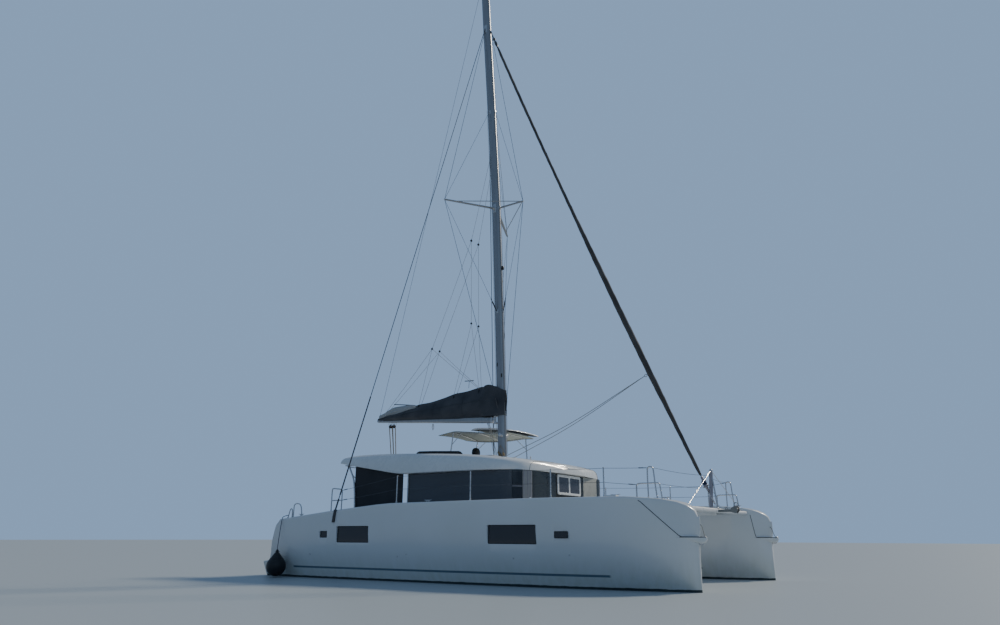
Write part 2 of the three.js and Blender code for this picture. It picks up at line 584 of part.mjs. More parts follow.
// Boom with its folded sail in a bag
const boomStart = -860;
const boomZ = (x) => 4440 + (boomPivot[0] - x) * 0.065;
const boomTop = (x) => boomZ(x) + 90 - (boomStart - x) * 0.01;
const boomRing = (x, half, low, high) => [[half, low], [half, high], [-half, high], [-half, low]]
  .map(([y, z]) => [x, y, z]);
part('boom', join(
  loft([boomStart, boomEndX].map((x) => boomRing(x, 70, boomZ(x) - 120, boomTop(x)))),
  rod([boomPivot[0], 0, goosePin.low], [boomPivot[0], 0, goosePin.high], goosePin.radius, 12),
  box(boomStart - 40, boomPivot[0] + 5, -25, 25, boomPivot[2] - 40, boomPivot[2] + 30)), alloy);
const bagRing = (x, top, half) => {
  const low = boomTop(x) + gap;
  const middle = (low + top) / 2;
  const belly = Math.max(middle - 120, low + 20);
  return [[half * 0.6, low], [half, belly], [half * 0.9, middle + 60], [half * 0.25, top],
    [-half * 0.25, top], [-half * 0.9, middle + 60], [-half, belly], [-half * 0.6, low]]
    .map(([y, z]) => [x, y, z]);
};
part('sail_bag', loft([[-900, 5380, 120], [-1050, 5510, 190], [-2500, 5420, 215], [-4150, 5260, 190],
  [-5250, 5120, 120], [-5430, 5020, 80]].map((row) => bagRing(...row))), canvas);
// Shrouds from the chainplates on each topside to the hounds
for (const { name, sign } of sides) {
  const foot = [-3370, sign * 3875, 1560];
  const top = [mastX(houndsZ), sign * 60, houndsZ];
  const lean = [0, 1, 2].map((i) => foot[i] + (top[i] - foot[i]) * 0.045);
  const wire = join(rod(foot, top, wireRadius, 6), rod(foot, lean, 16, 8));
  const tang = box(-3420, -3320, Math.min(sign * 3800, sign * 3880),
    Math.max(sign * 3800, sign * 3880), 1450, 1580);
  const body = clearOfMast(join(wire, tang));
  part(`shroud_${name}`, seatedOn(body, made[`hull_${name}`], [0, sign, 0]), steel);
}

// Guard rails: pulpit, stanchions with lifelines, and the gate frame
const railRadius = 13;
const lifelineRadius = 5;
const gateY = 3600;
const stanchions = [[980, 3720, 2590], [3150, 3660, 2540]];
const makeRails = () => {
  const post = (x, y, top) => rod([x, y, 1500], [x, y, top], railRadius, 8);
  const pieces = [
    ...stanchions.map(([x, y, top]) => post(x, y, top)),
    post(-1300, 3740, 2560),
    post(5150, 3440, 2330), post(5400, 3330, 2500), post(5540, 3250, 2500),
    rod([5400, 3330, 2490], [5540, 3250, 2490], railRadius, 8),
    run([[-3280, gateY, 2270], [-1300, 3740, 2550], [980, 3720, 2580], [3150, 3660, 2530], [5150, 3440, 2320],
      [5400, 3330, 2490]], lifelineRadius),
    run([[-3280, gateY, 2010], [-1300, 3740, 2230], [980, 3720, 2260], [3150, 3660, 2240], [5150, 3440, 2150],
      [5400, 3330, 2190]], lifelineRadius),
    post(-3660, gateY, 2340), post(-3280, gateY, 2300),
    rod([-3660, gateY, 2330], [-3280, gateY, 2290], railRadius, 8),
    rod([-3660, gateY, 2010], [-3280, gateY, 2010], railRadius, 8)];
  return join(...pieces);
};
const makeSternRail = () => join(
  bent([[-5470, 3560, 1400], [-5400, 3570, 1700], [-5200, 3600, 1900], [-5080, 3610, 1940], [-4860, 3620, 1900],
    [-4830, 3630, 1450]], railRadius, 8, 16),
  rod([-5200, 3600, 1400], [-5200, 3600, 1900], railRadius, 8));
for (const { name, sign } of sides) {
  const hull = made[`hull_${name}`];
  part(`guard_rail_${name}`, seatedOn(onSide(makeRails(), sign), hull), steel);
  part(`stern_rail_${name}`, seatedOn(onSide(makeSternRail(), sign), hull), steel);
}

// Saildrives, propellers, rudders and engines
const makeDrive = () => join(
  loft([[-430 - gap, 190, 60], [-620, 130, 40], [-900, 110, 38]].map(([z, long, wide]) => [
    [long, 0], [long * 0.5, wide], [-long * 0.6, wide], [-long, 0], [-long * 0.6, -wide], [long * 0.5, -wide],
  ].map(([x, t]) => [shaft.x + x, hullCentre + t, z]))),
  rod([shaft.x + 190, hullCentre, shaft.z], [shaft.x - 200, hullCentre, shaft.z], 62, 12));
const makePropeller = () => {
  const x = shaft.x - 200 - gap;
  const pieces = [rod([x, hullCentre, shaft.z], [x - 130, hullCentre, shaft.z], 55, 12, 30)];
  for (let i = 0; i < 3; i += 1) {
    const blade = loft([[40, 45, 14], [140, 75, 10], [215, 45, 6]].map(([r, wide, thick]) => [
      [wide, thick], [-wide, thick], [-wide, -thick], [wide, -thick],
    ].map(([u, v]) => [x - 65 + u * 0.5 + v, hullCentre + u * 0.85, shaft.z + r])));
    const angle = i * 120;
    pieces.push(blade.translate([0, -hullCentre, -shaft.z]).rotate([angle, 0, 0])
      .translate([0, hullCentre, shaft.z]));
  }
  return join(...pieces);
};
const makeRudder = () => join(
  rod([rudderX, hullCentre, -290 - gap], [rudderX, hullCentre, -420], 32, 12),
  loft([[-330, 260, 330], [-700, 230, 300], [-1130, 190, 190]].map(([z, front, aft]) => [
    [front * 0.6, 0], [front * 0.3, 42], [-aft * 0.3, 40], [-aft, 4], [-aft, -4], [-aft * 0.3, -40],
    [front * 0.3, -42]].map(([x, t]) => [rudderX + x, hullCentre + t, z]))));
for (const { name, sign } of sides) {
  part(`saildrive_${name}`, onSide(makeDrive(), sign), castIron);
  part(`propeller_${name}`, onSide(makePropeller(), sign), bronze);
  part(`rudder_${name}`, onSide(makeRudder(), sign), white);
  const well = engineWell;
  part(`engine_${name}`, onSide(box(well.x0 + 80, well.x1 - 40, hullCentre - 230, hullCentre + 230,
    well.bottom + gap, 700), sign), castIron);
  part(`engine_hatch_${name}`, onSide(box(well.x0 - 40 + running, well.x1 + 40 - running,
    well.y0 - 40 + running, well.y1 + 40 - running, 1500 - lidThick + gap, 1500), sign), white);
  const locker = foredeckLocker;
  part(`locker_lid_${name}`, onSide(box(locker.x0 - 30 + running, locker.x1 + 30 - running,
    locker.y - locker.half - 30 + running, locker.y + locker.half + 30 - running,
    deckZ - 35 + gap, deckZ), sign), white);
}

// Round fender hung from the stern rail on a rope
const fender = { x: -5400, y: -3900, z: 285, radius: 265, top: 730 };
part('fender', join(ball([fender.x, fender.y, fender.z], fender.radius, 16, 12),
  rod([fender.x, fender.y, fender.z + 190], [fender.x, fender.y, fender.top], 150, 12, 32)), rubber);
const fenderRope = bent([[fender.x, fender.y, fender.top + gap], [-5400, -3900, 770], [-5402, -3896, 830],
  [-5415, -3850, 1200], [-5425, -3800, 1530], [-5432, -3760, 1590], [-5440, -3680, 1620], [-5428, -3590, 1640],
  [-5420, -3572, 1645]], 9, 8, 24);
part('fender_line', fenderRope.subtract(made.stern_rail_starboard)
  .subtract(made.fender.translate([0, 0, gap])), rope);

export default boat;
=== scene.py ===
import json
import math
import random

import bmesh
import bpy
from mathutils import Matrix, Vector, noise as mathNoise

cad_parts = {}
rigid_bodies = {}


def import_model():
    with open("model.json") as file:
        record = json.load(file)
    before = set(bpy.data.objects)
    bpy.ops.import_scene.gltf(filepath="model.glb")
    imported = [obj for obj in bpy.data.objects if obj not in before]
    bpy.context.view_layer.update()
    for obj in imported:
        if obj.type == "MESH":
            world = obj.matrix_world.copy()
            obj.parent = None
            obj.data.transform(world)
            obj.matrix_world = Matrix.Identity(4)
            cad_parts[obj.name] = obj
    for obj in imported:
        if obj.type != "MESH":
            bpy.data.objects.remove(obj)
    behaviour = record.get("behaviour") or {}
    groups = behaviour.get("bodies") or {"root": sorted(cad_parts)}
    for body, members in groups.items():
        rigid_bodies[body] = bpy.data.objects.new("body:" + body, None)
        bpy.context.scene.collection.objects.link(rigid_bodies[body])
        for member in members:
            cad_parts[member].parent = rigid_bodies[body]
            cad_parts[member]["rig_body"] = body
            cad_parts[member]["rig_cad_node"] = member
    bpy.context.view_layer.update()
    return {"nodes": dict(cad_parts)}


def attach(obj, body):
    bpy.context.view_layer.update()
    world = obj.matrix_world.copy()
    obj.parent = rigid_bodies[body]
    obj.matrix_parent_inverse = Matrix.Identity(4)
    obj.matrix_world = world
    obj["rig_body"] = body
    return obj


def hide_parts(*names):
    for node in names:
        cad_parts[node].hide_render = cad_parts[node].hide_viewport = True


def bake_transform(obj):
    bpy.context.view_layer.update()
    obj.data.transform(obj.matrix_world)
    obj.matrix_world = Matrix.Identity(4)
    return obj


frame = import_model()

random.seed(7)
print("frame loaded")

# steps used on every piece


def only(obj):
    bpy.ops.object.select_all(action="DESELECT")
    obj.select_set(True)
    bpy.context.view_layer.objects.active = obj
    return obj


def active():
    return bpy.context.view_layer.objects.active


def clear():
    bpy.ops.object.select_all(action="DESELECT")


def around(count):  # equal angles round a full turn
    return [math.tau * k / count for k in range(count)]


def between(start, end, count):  # equal steps from one value to another
    return [start + (end - start) * k / count for k in range(count + 1)]


def editMesh(obj, mode="FACE"):
    only(obj)
    bpy.ops.object.mode_set(mode="EDIT")
    bpy.ops.mesh.select_mode(type=mode)
    bpy.ops.mesh.select_all(action="DESELECT")


def doneEditing():
    bpy.ops.object.mode_set(mode="OBJECT")


def pickEdges(obj, wanted):  # wanted is asked about each edge's two ends
    mesh = bmesh.from_edit_mesh(obj.data)
    for edge in mesh.edges:
        edge.select_set(bool(wanted(edge.verts[0].co, edge.verts[1].co)))
    mesh.select_flush_mode()
    bmesh.update_edit_mesh(obj.data)


def modify(obj, kind, **settings):  # add a modifier, set it and apply it at once
    only(obj)
    bpy.ops.object.modifier_add(type=kind)
    modifier = obj.modifiers[-1]
    for name, value in settings.items():
        setattr(modifier, name, value)
    bpy.ops.object.modifier_apply(modifier=modifier.name)
    return obj


def softenEdges(obj, width, segments=2, angle=35):
    return modify(obj, "BEVEL", width=width, segments=segments, limit_method="ANGLE",
                  angle_limit=math.radians(angle), miter_outer="MITER_ARC")


def settle(obj):  # place, turn and size go into the mesh
    only(obj)
    bpy.ops.object.transform_apply(location=True, rotation=True, scale=True)
    return obj


def weld(obj, distance=0.0002):
    editMesh(obj)
    bpy.ops.mesh.select_all(action="SELECT")
    bpy.ops.mesh.remove_doubles(threshold=distance)
    bpy.ops.mesh.normals_make_consistent(inside=False)
    doneEditing()
    return obj


def joined(pieces):
    clear()
    for piece in pieces:
        piece.select_set(True)
    bpy.context.view_layer.objects.active = pieces[0]
    if len(pieces) > 1:
        bpy.ops.object.join()
    return pieces[0]


def cutAway(obj, cutters):  # boolean difference, then the cutters go
    for cutter in cutters:
        modify(obj, "BOOLEAN", operation="DIFFERENCE", solver="EXACT", object=cutter)
        bpy.data.objects.remove(cutter)
    return obj


def piece(obj, name, material, body="root", slot=None, smooth=32, stands=()):
    only(obj)
    if smooth:
        bpy.ops.object.shade_smooth_by_angle(angle=math.radians(smooth))
    obj.name = name
    obj.data.name = name
    if material is not None:
        obj.data.materials.clear()
        obj.data.materials.append(material)
    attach(obj, body)
    if stands:
        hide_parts(*stands)
    return obj


def mirroredCopy(obj):  # the same piece on the other side of the centreline
    only(obj)
    bpy.ops.object.duplicate()
    copy = active()
    copy.scale.y = -1
    settle(copy)
    editMesh(copy)
    bpy.ops.mesh.select_all(action="SELECT")
    bpy.ops.mesh.flip_normals()
    doneEditing()
    return copy


bothSides = ((-1, "Starboard"), (1, "Port"))


def pair(port, name, material, slot, smooth=40, stands=(), body=None):  # made to port and mirrored
    starboard = mirroredCopy(port)
    for obj, side in ((port, "Port"), (starboard, "Starboard")):
        ending = "_" + side.lower()
        piece(obj, name + side, material, body + ending if body else "root", slot, smooth,
              [node + ending for node in stands])


# shapes that everything starts from


def block(low, high, round=0.0, segments=3):
    middle = [(a + b) / 2 for a, b in zip(low, high)]
    bpy.ops.mesh.primitive_cube_add(size=1, location=middle, scale=[b - a for a, b in zip(low, high)])
    obj = settle(active())
    if round:
        modify(obj, "BEVEL", width=round, segments=segments)
    return obj


def pole(start, end, radius, tip=None, sides=16):
    start, end = Vector(start), Vector(end)
    run = end - start
    bpy.ops.mesh.primitive_cone_add(vertices=sides, radius1=radius, radius2=radius if tip is None else tip,
                                    depth=run.length, location=(start + end) / 2,
                                    rotation=run.to_track_quat("Z", "Y").to_euler())
    return settle(active())


def ball(centre, radius, squash=(1, 1, 1), rings=10):
    bpy.ops.mesh.primitive_uv_sphere_add(segments=rings * 2, ring_count=rings, radius=radius,
                                         location=centre, scale=squash)
    return settle(active())


def hoop(centre, radius, thick, turn=(0, 0, 0), around=36, across=8):
    bpy.ops.mesh.primitive_torus_add(major_segments=around, minor_segments=across, major_radius=radius,
                                     minor_radius=thick, location=centre, rotation=turn)
    return settle(active())


def smoothPath(points, steps=6):  # more points on a smooth line through the given ones
    points = [Vector(p) for p in points]
    ends = [2 * points[0] - points[1], *points, 2 * points[-1] - points[-2]]
    line = []
    for i in range(1, len(ends) - 2):
        a, b, c, d = ends[i - 1:i + 3]
        for k in range(steps):
            t = k / steps
            line.append(0.5 * (2 * b + (c - a) * t + (2 * a - 5 * b + 4 * c - d) * t * t
                               + (3 * b - a - 3 * c + d) * t * t * t))
    return [*line, points[-1]]


def pipe(points, radius, sides=10, closed=False, radii=None):  # a round tube along a line of points
    points = [Vector(p) for p in points]
    count = len(points)
    rings = []
    upright = Vector((0, 0, 1)) if abs((points[1] - points[0]).normalized().z) < 0.9 else Vector((1, 0, 0))
    for i, point in enumerate(points):
        ahead = points[(i + 1) % count] if closed or i + 1 < count else points[i]
        behind = points[i - 1] if closed or i else points[i]
        along = (ahead - behind).normalized()
        across = (upright - along * upright.dot(along)).normalized()
        upright = across
        other = along.cross(across)
        size = radii[i] if radii else radius
        rings.append([point + (across * math.cos(a) + other * math.sin(a)) * size for a in around(sides)])
    return skin([*rings, rings[0]] if closed else rings, capped=not closed)


def skin(rings, capped=True, closedRings=True):  # a grid bent over rows of points
    rows = len(rings)
    columns = len(rings[0]) + (1 if closedRings else 0)
    clear()
    bpy.ops.mesh.primitive_grid_add(x_subdivisions=rows - 1, y_subdivisions=columns - 1, size=2)
    obj = active()
    for vertex in obj.data.vertices:
        row = round((vertex.co.x + 1) / 2 * (rows - 1))
        column = round((vertex.co.y + 1) / 2 * (columns - 1))
        vertex.co = rings[row][column % len(rings[0])]
    editMesh(obj, "EDGE")
    bpy.ops.mesh.select_all(action="SELECT")
    bpy.ops.mesh.remove_doubles(threshold=0.00002)
    if capped:
        bpy.ops.mesh.select_all(action="DESELECT")
        bpy.ops.mesh.select_non_manifold(extend=False, use_wire=False, use_multi_face=False,
                                         use_non_contiguous=False, use_verts=False)
        bpy.ops.mesh.fill_holes(sides=0)
        bpy.ops.mesh.select_all(action="SELECT")
        bpy.ops.mesh.normals_make_consistent(inside=False)
    doneEditing()
    return obj


def board(outline, axis, low, high):  # a flat outline pushed along one axis
    clear()
    bpy.ops.mesh.primitive_circle_add(vertices=len(outline), radius=1, fill_type="NGON")
    obj = active()
    place = {"x": lambda u, v: (low, u, v), "y": lambda u, v: (u, low, v), "z": lambda u, v: (u, v, low)}[axis]
    push = {"x": (high - low, 0, 0), "y": (0, high - low, 0), "z": (0, 0, high - low)}[axis]
    for vertex, (u, v) in zip(obj.data.vertices, outline):
        vertex.co = place(u, v)
    editMesh(obj)
    bpy.ops.mesh.select_all(action="SELECT")
    bpy.ops.mesh.extrude_region_move(TRANSFORM_OT_translate={"value": push})
    bpy.ops.mesh.select_all(action="SELECT")
    bpy.ops.mesh.normals_make_consistent(inside=False)
    doneEditing()
    return obj


def turnedShape(profile, centre, toward=(0, 0, 1), steps=28):  # a profile of radius and height spun round
    clear()
    rings = [[Vector((radius * math.cos(a), radius * math.sin(a), height)) for a in around(steps)]
             for radius, height in profile]
    obj = skin(rings)
    obj.matrix_world = Matrix.Translation(centre) @ Vector(toward).to_track_quat("Z", "Y").to_matrix().to_4x4()
    return settle(obj)


def cornered(low, high, axis, round, segments):  # a block with the four edges along one axis rounded
    obj = block(low, high)
    editMesh(obj, "EDGE")
    pickEdges(obj, lambda a, b: abs(a[axis] - b[axis]) > 0.9 * (high[axis] - low[axis]))
    bpy.ops.mesh.bevel(offset=round, segments=segments)
    doneEditing()
    return obj


def windowHole(x0, x1, y0, y1, z0, z1, round=0.02):  # round corners as seen from the side
    return cornered((x0, y0, z0), (x1, y1, z1), 1, min(round, 0.45 * (z1 - z0)), 5)


def slab(x0, x1, y0, y1, z0, z1, round):  # round corners as seen from above
    return cornered((x0, y0, z0), (x1, y1, z1), 2, round, 6)


def taut(a, b, sag=0.004, steps=6):  # a line between two points that hangs a little
    a, b = Vector(a), Vector(b)
    return [a.lerp(b, t) - Vector((0, 0, sag * (b - a).length * math.sin(math.pi * t)))
            for t in between(0, 1, steps)]


def clothOf(rings, thick, offset=0):  # an open cloth over rows of points, made thick, and its area
    cloth = skin(rings, capped=False, closedRings=False)
    area = sum(face.area for face in cloth.data.polygons)
    return modify(cloth, "SOLIDIFY", thickness=thick, offset=offset), area


def dressed(node, name, material, body="root", slot=None, round=0.008):  # a CAD node with eased edges
    source = frame["nodes"][node]
    only(source)
    bpy.ops.object.duplicate()
    obj = active()
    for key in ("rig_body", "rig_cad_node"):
        if key in obj:
            del obj[key]
    obj.parent = None
    weld(obj)
    editMesh(obj)
    bpy.ops.mesh.select_all(action="SELECT")
    bpy.ops.mesh.dissolve_limited(angle_limit=math.radians(1))
    doneEditing()
    if round:
        softenEdges(obj, round)
    return piece(obj, name, material, body, slot, stands=[node])


# finishes


def newFinish(name, color, roughness=0.5, metallic=0.0, coat=0.0, sheen=0.0):
    material = bpy.data.materials.new(name)
    material.use_nodes = True
    material.diffuse_color = (*color, 1)
    shader = material.node_tree.nodes["Principled BSDF"]
    shader.inputs["Base Color"].default_value = (*color, 1)
    shader.inputs["Roughness"].default_value = roughness
    shader.inputs["Metallic"].default_value = metallic
    shader.inputs["Coat Weight"].default_value = coat
    shader.inputs["Sheen Weight"].default_value = sheen
    return material, material.node_tree, shader


def addNode(tree, kind, inputs=(), **settings):
    node = tree.nodes.new("ShaderNode" + kind)
    for name, value in settings.items():
        setattr(node, name, value)
    for name, value in dict(inputs).items():
        if isinstance(value, bpy.types.NodeSocket):
            tree.links.new(value, node.inputs[name])
        else:
            node.inputs[name].default_value = value
    return node


def objectPlace(tree, stretch=(1, 1, 1)):
    where = addNode(tree, "TexCoord").outputs["Object"]
    return addNode(tree, "Mapping", {"Vector": where, "Scale": stretch}).outputs["Vector"]


def noise(tree, scale, detail=3.0, stretch=(1, 1, 1), rough=0.55):
    return addNode(tree, "TexNoise", {"Vector": objectPlace(tree, stretch), "Scale": scale, "Detail": detail,
                                      "Roughness": rough}).outputs["Fac"]


def spread(tree, value, low, high, fromLow=0.3, fromHigh=0.7):  # a value's range laid over another
    return addNode(tree, "MapRange", {"Value": value, "From Min": fromLow, "From Max": fromHigh,
                                      "To Min": low, "To Max": high}).outputs["Result"]


def blendColor(tree, share, first, second):
    mix = addNode(tree, "Mix", data_type="RGBA")
    for slot, value in ((0, share), (6, first), (7, second)):
        if isinstance(value, bpy.types.NodeSocket):
            tree.links.new(value, mix.inputs[slot])
        elif slot:
            mix.inputs[slot].default_value = (*value, 1)
        else:
            mix.inputs[slot].default_value = value
    return mix.outputs[2]


def embossed(tree, shader, height, strength, distance=0.01, over=None):
    bump = addNode(tree, "Bump", {"Height": height, "Strength": strength, "Distance": distance})
    if over is not None:
        tree.links.new(over, bump.inputs["Normal"])
    tree.links.new(bump.outputs["Normal"], shader.inputs["Normal"])
    return bump.outputs["Normal"]


gelcoatLook = {"white": (0.77, 0.8, 0.82), "warm": (0.74, 0.77, 0.77), "roughness": 0.24, "waves": 1.1,
               "lowTint": (0.55, 0.58, 0.48), "stripe": (0.12, 0.19, 0.24), "bottom": (0.025, 0.04, 0.055),
               "waterline": 0.055, "stripeZ": (0.257, 0.305), "stripeX": (-5.04, 4.4)}


def gelcoatFinish(name="gelcoat", hull=False):
    look = gelcoatLook
    material, tree, shader = newFinish(name, look["white"], look["roughness"], coat=0.35)
    clouds = spread(tree, noise(tree, 0.7), 0, 1)
    color = blendColor(tree, clouds, look["white"], look["warm"])
    if hull:
        where = addNode(tree, "SeparateXYZ", {"Vector": addNode(tree, "TexCoord").outputs["Object"]})
        height, along = where.outputs["Z"], where.outputs["X"]
        # greener and darker towards the bottom, in streaks
        streaks = noise(tree, 3.0, 4, (2.5, 2.5, 0.3))
        low = addNode(tree, "MapRange", {"Value": height, "From Min": 0.75, "From Max": 0.12,
                                         "To Min": 0.0, "To Max": 0.6}).outputs["Result"]
        lowTintShare = addNode(tree, "Math", {0: low, 1: spread(tree, streaks, 0.35, 1)}, operation="MULTIPLY")
        color = blendColor(tree, lowTintShare.outputs[0], color, look["lowTint"])
        inBand = []
        for value, (start, end), soft in ((height, look["stripeZ"], 0.002), (along, look["stripeX"], 0.05)):
            middle, half = (start + end) / 2, (end - start) / 2
            away = addNode(tree, "Math", {0: value, 1: middle}, operation="SUBTRACT").outputs[0]
            away = addNode(tree, "Math", {0: away}, operation="ABSOLUTE").outputs[0]
            inBand.append(addNode(tree, "MapRange", {"Value": away, "From Min": half, "From Max": half + soft,
                                                     "To Min": 1.0, "To Max": 0.0}).outputs["Result"])
        band = addNode(tree, "Math", {0: inBand[0], 1: inBand[1]}, operation="MULTIPLY").outputs[0]
        color = blendColor(tree, band, color, look["stripe"])
        edge = addNode(tree, "Math", {0: height, 1: spread(tree, noise(tree, 4.0), -0.006, 0.006)},
                       operation="ADD").outputs[0]
        under = addNode(tree, "MapRange", {"Value": edge, "From Min": look["waterline"],
                                           "From Max": look["waterline"] - 0.004}).outputs["Result"]
        algae = blendColor(tree, noise(tree, 9.0, 5), look["bottom"], (0.05, 0.075, 0.07))
        color = blendColor(tree, under, color, algae)
        rough = addNode(tree, "MapRange", {"Value": under, "To Min": look["roughness"], "To Max": 0.75})
        tree.links.new(rough.outputs["Result"], shader.inputs["Roughness"])
    else:
        tree.links.new(spread(tree, noise(tree, 5.0), 0.2, 0.34), shader.inputs["Roughness"])
    tree.links.new(color, shader.inputs["Base Color"])
    embossed(tree, shader, noise(tree, look["waves"], 2), 0.12, 0.02)
    return material


def nonSkidFinish():
    material, tree, shader = newFinish("nonSkid", (0.62, 0.64, 0.64), 0.6)
    cells = addNode(tree, "TexVoronoi", {"Vector": objectPlace(tree), "Scale": 60.0}).outputs["Distance"]
    worn = spread(tree, noise(tree, 1.3, 4), 0, 1)
    tree.links.new(blendColor(tree, worn, (0.66, 0.67, 0.67), (0.56, 0.58, 0.58)), shader.inputs["Base Color"])
    embossed(tree, shader, cells, 0.35, 0.004)
    return material


def glassFinish(name, color=(0.012, 0.016, 0.02), alpha=0.86, roughness=0.06):
    material, tree, shader = newFinish(name, color, roughness, coat=0.5)
    shader.inputs["Alpha"].default_value = alpha
    shader.inputs["Specular IOR Level"].default_value = 0.6
    haze = spread(tree, noise(tree, 2.2, 4), roughness, roughness + 0.07)
    tree.links.new(haze, shader.inputs["Roughness"])
    embossed(tree, shader, noise(tree, 0.8, 1), 0.05, 0.02)
    return material


def metalFinish(name, color, roughness, metallic=0.9, stretch=(1, 1, 1), scale=40.0, wear=0.08):
    material, tree, shader = newFinish(name, color, roughness, metallic)
    grain = noise(tree, scale, 4, stretch)
    tree.links.new(spread(tree, grain, max(roughness - wear, 0.05), roughness + wear),
                   shader.inputs["Roughness"])
    dull = tuple(channel * 0.8 for channel in color)
    patches = spread(tree, noise(tree, 2.5, 3, stretch), 0, 1)
    tree.links.new(blendColor(tree, patches, color, dull), shader.inputs["Base Color"])
    embossed(tree, shader, grain, 0.06, 0.002)
    return material


def clothFinish(name, color, thread=0.0035, fade=0.25, alpha=1.0, creases=0.25):
    material, tree, shader = newFinish(name, color, 0.92, sheen=0.15)
    place = objectPlace(tree)
    weave = []
    for direction in ("X", "Z"):
        weave.append(addNode(tree, "TexWave", {"Vector": place, "Scale": 0.31 / thread, "Distortion": 0.4},
                             bands_direction=direction).outputs["Fac"])
    crossing = addNode(tree, "Math", {0: weave[0], 1: weave[1]}, operation="MAXIMUM").outputs[0]
    old = tuple(channel + (0.5 - channel) * fade * 0.5 for channel in color)
    patches = spread(tree, noise(tree, 1.7, 5), 0, 1)
    faded = blendColor(tree, patches, color, old)
    darker = tuple(channel * 0.7 for channel in color)
    threads = addNode(tree, "Math", {0: crossing, 1: 0.3}, operation="MULTIPLY").outputs[0]
    tree.links.new(blendColor(tree, threads, faded, darker), shader.inputs["Base Color"])
    shader.inputs["Alpha"].default_value = alpha
    folds = embossed(tree, shader, noise(tree, 6.0, 5, (1, 1, 2)), creases, 0.03)
    embossed(tree, shader, crossing, 0.3, 0.001, over=folds)
    return material


def plainFinish(name, color, roughness, metallic=0.0, scale=14.0, change=0.12, bump=0.1):
    material, tree, shader = newFinish(name, color, roughness, metallic)
    spots = noise(tree, scale, 5)
    other = tuple(min(channel * (1 - change) + 0.01, 1) for channel in color)
    tree.links.new(blendColor(tree, spread(tree, spots, 0, 1), color, other), shader.inputs["Base Color"])
    tree.links.new(spread(tree, spots, roughness - 0.08, roughness + 0.08), shader.inputs["Roughness"])
    embossed(tree, shader, noise(tree, scale * 6, 4), bump, 0.003)
    return material


def woodFinish(name, color, plank):
    material, tree, shader = newFinish(name, color, 0.55)
    grain = noise(tree, 6.0, 8, (1.2, 14, 14), 0.7)
    light = tuple(channel * 1.6 for channel in color)
    wood = blendColor(tree, spread(tree, grain, 0, 1), color, light)
    bands = addNode(tree, "TexWave", {"Vector": objectPlace(tree), "Scale": 0.314 / plank},
                    bands_direction="Y").outputs["Fac"]
    gap = addNode(tree, "MapRange", {"Value": bands, "From Min": 0.03, "From Max": 0.06}).outputs["Result"]
    tree.links.new(blendColor(tree, gap, (0.02, 0.02, 0.02), wood), shader.inputs["Base Color"])
    embossed(tree, shader, grain, 0.15, 0.002)
    return material


def ropeFinish(name, color, fleck):
    material, tree, shader = newFinish(name, color, 0.85, sheen=0.1)
    braid = addNode(tree, "TexVoronoi",
                    {"Vector": objectPlace(tree, (1, 1, 0.6)), "Scale": 170.0}).outputs["Distance"]
    tree.links.new(blendColor(tree, spread(tree, braid, 0, 1, 0.1, 0.6), color, fleck),
                   shader.inputs["Base Color"])
    embossed(tree, shader, braid, 0.6, 0.002)
    return material


hullGelcoat = gelcoatFinish("hullGelcoat", hull=True)
gelcoat = gelcoatFinish()
nonSkid = nonSkidFinish()
bottomPaint = plainFinish("bottomPaint", (0.03, 0.045, 0.06), 0.75, scale=6.0, change=0.4, bump=0.3)
darkGlass = glassFinish("darkGlass", (0.07, 0.076, 0.092))
cornerGlass = glassFinish("cornerGlass", (0.014, 0.017, 0.024))
greyGlass = glassFinish("greyGlass", (0.05, 0.06, 0.062), 0.6)
hullGlass = glassFinish("hullGlass", (0.02, 0.02, 0.028), 0.97, 0.12)
spar = metalFinish("spar", (0.42, 0.44, 0.46), 0.38, 0.85, (12, 12, 0.3), 14.0)
# the mast's alloy is a darker copy of the spar finish: painted shade on the mast and spreaders
shadedMastAlloy = metalFinish("shadedMastAlloy", (0.38, 0.395, 0.42), 0.34, 0.7, (12, 12, 0.3), 14.0)
paleShade = plainFinish("paleShade", (0.42, 0.44, 0.42), 0.6, scale=8.0, bump=0.05)
sparWhite = plainFinish("sparWhite", (0.72, 0.75, 0.77), 0.35, scale=3.0, bump=0.03)
greyMauve = plainFinish("greyMauve", (0.36, 0.35, 0.4), 0.4, 0.2, scale=8.0, bump=0.05)
stainless = metalFinish("stainless", (0.66, 0.67, 0.69), 0.28, 0.85, wear=0.1)
# rig wire: stainless wire coloured dark, painted shade
shadedWireFinish = metalFinish("wire", (0.1, 0.105, 0.115), 0.4, 0.7, (1, 1, 0.4), 160.0)
canvas = clothFinish("canvas", (0.029, 0.035, 0.048))
sailCloth = clothFinish("sailCloth", (0.42, 0.44, 0.45), 0.002, creases=0.5)
furledCloth = clothFinish("furledCloth", (0.05, 0.046, 0.044), fade=0.35, creases=0.3)
awningCloth = clothFinish("awningCloth", (0.46, 0.5, 0.45), creases=0.15)
meshCloth = clothFinish("meshCloth", (0.024, 0.026, 0.033), 0.006, fade=0.06, alpha=0.96)
cushionCloth = clothFinish("cushionCloth", (0.36, 0.36, 0.34), 0.004, creases=0.3)
netCord = ropeFinish("netCord", (0.62, 0.63, 0.62), (0.4, 0.41, 0.4))
darkRope = ropeFinish("darkRope", (0.01, 0.018, 0.05), (0.03, 0.05, 0.12))
greyRope = ropeFinish("greyRope", (0.16, 0.17, 0.17), (0.3, 0.3, 0.28))
beigeRope = ropeFinish("beigeRope", (0.45, 0.37, 0.24), (0.3, 0.22, 0.12))
teak = woodFinish("teak", (0.33, 0.2, 0.11), 0.05)
blackPlastic = plainFinish("blackPlastic", (0.012, 0.012, 0.014), 0.42)
greyPlastic = plainFinish("greyPlastic", (0.3, 0.31, 0.32), 0.5)
blackVinyl = plainFinish("blackVinyl", (0.008, 0.009, 0.012), 0.4, scale=5.0, bump=0.15)
bronze = metalFinish("bronze", (0.38, 0.26, 0.12), 0.35, 1.0)
